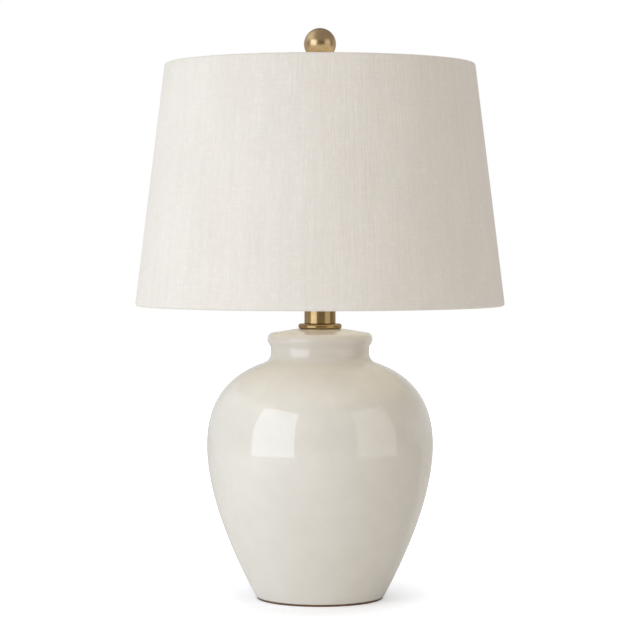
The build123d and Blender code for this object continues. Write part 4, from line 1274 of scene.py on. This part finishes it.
def make_shell():
    ring = shell_low + RING_AT
    inner = SHELL_RADIUS - SHELL_WALL
    bm = draw_corners(
        (inner, shell_low),
        (SHELL_RADIUS, shell_low),
        (SHELL_RADIUS, ring - 2 * RING_ROLL),
        (SHELL_RADIUS + RING_ROLL, ring, RING_ROLL),
        (SHELL_RADIUS, ring + 2 * RING_ROLL),
        (SHELL_RADIUS, shell_high - 3 * RING_ROLL),
        (SHELL_RADIUS + RING_ROLL, shell_high - 2 * RING_ROLL, RING_ROLL / 2),
        (SHELL_RADIUS + RING_ROLL, shell_high, RING_ROLL / 2),
        (inner, shell_high, RING_ROLL / 2),
        closed=True,
    )
    shell = add_piece("spun_shell", spin_round(bm), "base", holder_brass, "holder_brass", "holder_shell")
    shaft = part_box("switch_shaft")
    slot_high = (shaft[0][2] + shaft[1][2] + SLOT_WIDTH) / 2
    slot = bmesh.new()
    bmesh.ops.create_cube(slot, size=1.0)
    depth, height = 2 * SHELL_RADIUS, slot_high - shell_low + CAP_WALL
    bmesh.ops.scale(slot, verts=slot.verts[:], vec=(SLOT_WIDTH, depth, height))
    bmesh.ops.translate(slot, verts=slot.verts[:], vec=(0, -depth / 2, slot_high - height / 2))
    cut_away(shell, slot)


make_cap()
make_shell()


# %% [markdown]
# Inside the case are a card sleeve, a black moulded body with its contacts and terminals, and the switch with
# its fluted knob. These are small and already the right shape, so they only need their finishes: card with
# fibres, black moulding, plated steel, rubber and the plain brass from before. The nuts, washers and pipe get
# theirs here too.

# %% Finishes inside the case and under the jar
PLATING_BLOOM = 0.14


def make_plated(name, dull, bright, roughness):
    """Plain plated or drawn metal with faint streaks and a hazy bloom."""
    return make_plain(
        name, grain=0.007, detail=4.0, tones=(dull, bright), skin=(0.006, 0.006, 0.0005),
        roughness=(roughness, roughness + PLATING_BLOOM), bump=(0.10, 0.00004), Metallic=1.0,
    )


card = make_fibrous(
    "insulating_card", grain=(0.0025, 0.0025, 0.0007), tones=((0.21, 0.145, 0.085), (0.34, 0.25, 0.155)),
    patches=(0.012, 2.0), dullest=0.88, bump=(0.4, 0.0001), Roughness=0.9, Specular_IOR_Level=0.15,
)
black_moulding = make_moulding("black_moulding", (0.022, 0.021, 0.020), 0.36)
black_rubber = make_moulding("black_rubber", (0.035, 0.034, 0.033), 0.75)
zinc_steel = make_plated("zinc_steel", (0.40, 0.40, 0.385), (0.53, 0.53, 0.52), 0.28)
dress(card, "holder_sleeve")
dress(black_moulding, "holder_body", "switch_knob")
dress(holder_brass, "holder_screw_shell", "holder_centre_contact", "holder_terminal_screws", "switch_shaft")
dress(zinc_steel, "lamp_pipe", "bottom_steel_washer", "bottom_nut", "holder_set_screw", "bulb_contact")
dress(black_rubber, "bottom_rubber_washer")


# %% [markdown]
# The bulb is a blown globe that narrows to its cap. Its outline is two arcs and a longer curve whose handles
# line up, so the glass has no kink where it turns in. The frosting is inside the glass: the body is a soft
# white, and the clear skin over it keeps a sharp highlight.

# %% Frosted bulb
BULB_RADIUS = 0.030
BULB_NECK_RADIUS = 0.013
BULB_TURN_IN = radians(30)

frosted = make_plain(
    "frosted_glass", grain=0.022, tones=((0.80, 0.79, 0.765), (0.86, 0.855, 0.835)), skin=0.0007,
    skin_detail=3.0, roughness=(0.50, 0.65), bump=(0.05, 0.00005), Coat_Weight=0.8, Coat_Roughness=0.05,
    Coat_IOR=1.5, Specular_IOR_Level=0.3,
)


def make_globe():
    low, high = heights("bulb_glass")
    middle = Vector((0, high - BULB_RADIUS))
    crown = Vector((0, high))
    side = middle + Vector((BULB_RADIUS, 0))
    waist = middle + BULB_RADIUS * Vector((cos(BULB_TURN_IN), -sin(BULB_TURN_IN)))
    neck = Vector((BULB_NECK_RADIUS, low))
    down = Vector((0, -1))
    inwards = Vector((-sin(BULB_TURN_IN), -cos(BULB_TURN_IN)))
    quarter = arc_handle(BULB_RADIUS, pi / 2)
    turn = arc_handle(BULB_RADIUS, BULB_TURN_IN)
    pull = (waist.y - neck.y) / 2
    bm = draw_curve([
        (crown, crown, crown + Vector((quarter, 0))),
        (side, side - down * quarter, side + down * turn),
        (waist, waist - inwards * turn, waist + inwards * pull),
        (neck, neck - down * pull, neck),
    ])
    add_piece("frosted_globe", spin_round(bm), "bulb", frosted, "frosted_glass", "bulb_glass")


make_globe()


# %% [markdown]
# The bulb's cap has a rolled thread: a soft wave that climbs as it goes round. Spin can climb too. One wave
# is spun through several turns with a rise at each step, so that each turn ends where the next begins. Two
# planes trim the ends level, and the trimmed edges are drawn out into the smooth collar at the top and the
# lip below.

# %% Threaded cap
THREAD_PITCH = 0.00363
THREAD_TURNS = 6
THREAD_DEPTH = 0.0010
THREAD_STEPS = 48
COLLAR_HEIGHT = 0.0040
COLLAR_STEP = 0.0007
CAP_EDGE = 0.0006
THREAD_CURVE_STEPS = 6
THREAD_MERGE = 1e-5

bulb_aluminium = make_plated("bulb_aluminium", (0.56, 0.56, 0.555), (0.68, 0.68, 0.67), 0.26)
bead_black = make_moulding("black_bead", (0.018, 0.017, 0.018), 0.12)
dress(bead_black, "bulb_insulator")


def trim(bm, height, above):
    """Cut the thread level at a height and give back its new edge."""
    bmesh.ops.bisect_plane(
        bm, geom=bm.verts[:] + bm.edges[:] + bm.faces[:], plane_co=(0, 0, height), plane_no=(0, 0, 1),
        clear_outer=above, clear_inner=not above,
    )
    return [
        edge for edge in bm.edges
        if edge.is_boundary and all(abs(vert.co.z - height) < MERGE_DISTANCE for vert in edge.verts)
    ]


def draw_out(bm, rim, radius, height):
    """Extend an open edge to a level circle."""
    made = bmesh.ops.extrude_edge_only(bm, edges=rim)["geom"]
    for vert in made:
        if isinstance(vert, bmesh.types.BMVert):
            across = vert.co.xy.normalized() * radius
            vert.co = (*across, height)
    return [edge for edge in made if isinstance(edge, bmesh.types.BMEdge)]


def make_thread():
    low, high = heights("bulb_cap")
    crest = radius_of("bulb_cap")
    start = low - THREAD_PITCH
    root = crest - THREAD_DEPTH
    half_depth, half_pitch = THREAD_DEPTH / 2, THREAD_PITCH / 2
    bm = draw_curve([
        ((root, start), (root, start), (root, start + half_pitch / 2)),
        ((crest, start + half_pitch), (crest, start + half_pitch / 2), (crest, start + 3 * half_pitch / 2)),
        ((root, start + THREAD_PITCH), (root, start + 3 * half_pitch / 2), (root, start + THREAD_PITCH)),
    ], THREAD_CURVE_STEPS)
    turns = THREAD_TURNS + 1
    spin(bm, 2 * pi * turns, THREAD_STEPS * turns, dvec=(0, 0, THREAD_PITCH / THREAD_STEPS))
    bmesh.ops.remove_doubles(bm, verts=bm.verts[:], dist=THREAD_MERGE)
    top = trim(bm, high - COLLAR_HEIGHT, True)
    top = draw_out(bm, top, crest - half_depth, high - COLLAR_HEIGHT + COLLAR_STEP)
    top = draw_out(bm, top, crest, high - COLLAR_HEIGHT + 2 * COLLAR_STEP)
    draw_out(bm, top, crest, high)
    bottom = trim(bm, low + CAP_EDGE, False)
    bottom = draw_out(bm, bottom, root - CAP_EDGE / 2, low)
    draw_out(bm, bottom, root - CAP_EDGE, low + CAP_EDGE)
    bmesh.ops.recalc_face_normals(bm, faces=bm.faces[:])
    add_piece("threaded_cap", bm, "bulb", bulb_aluminium, "bulb_aluminium", "bulb_cap")


make_thread()
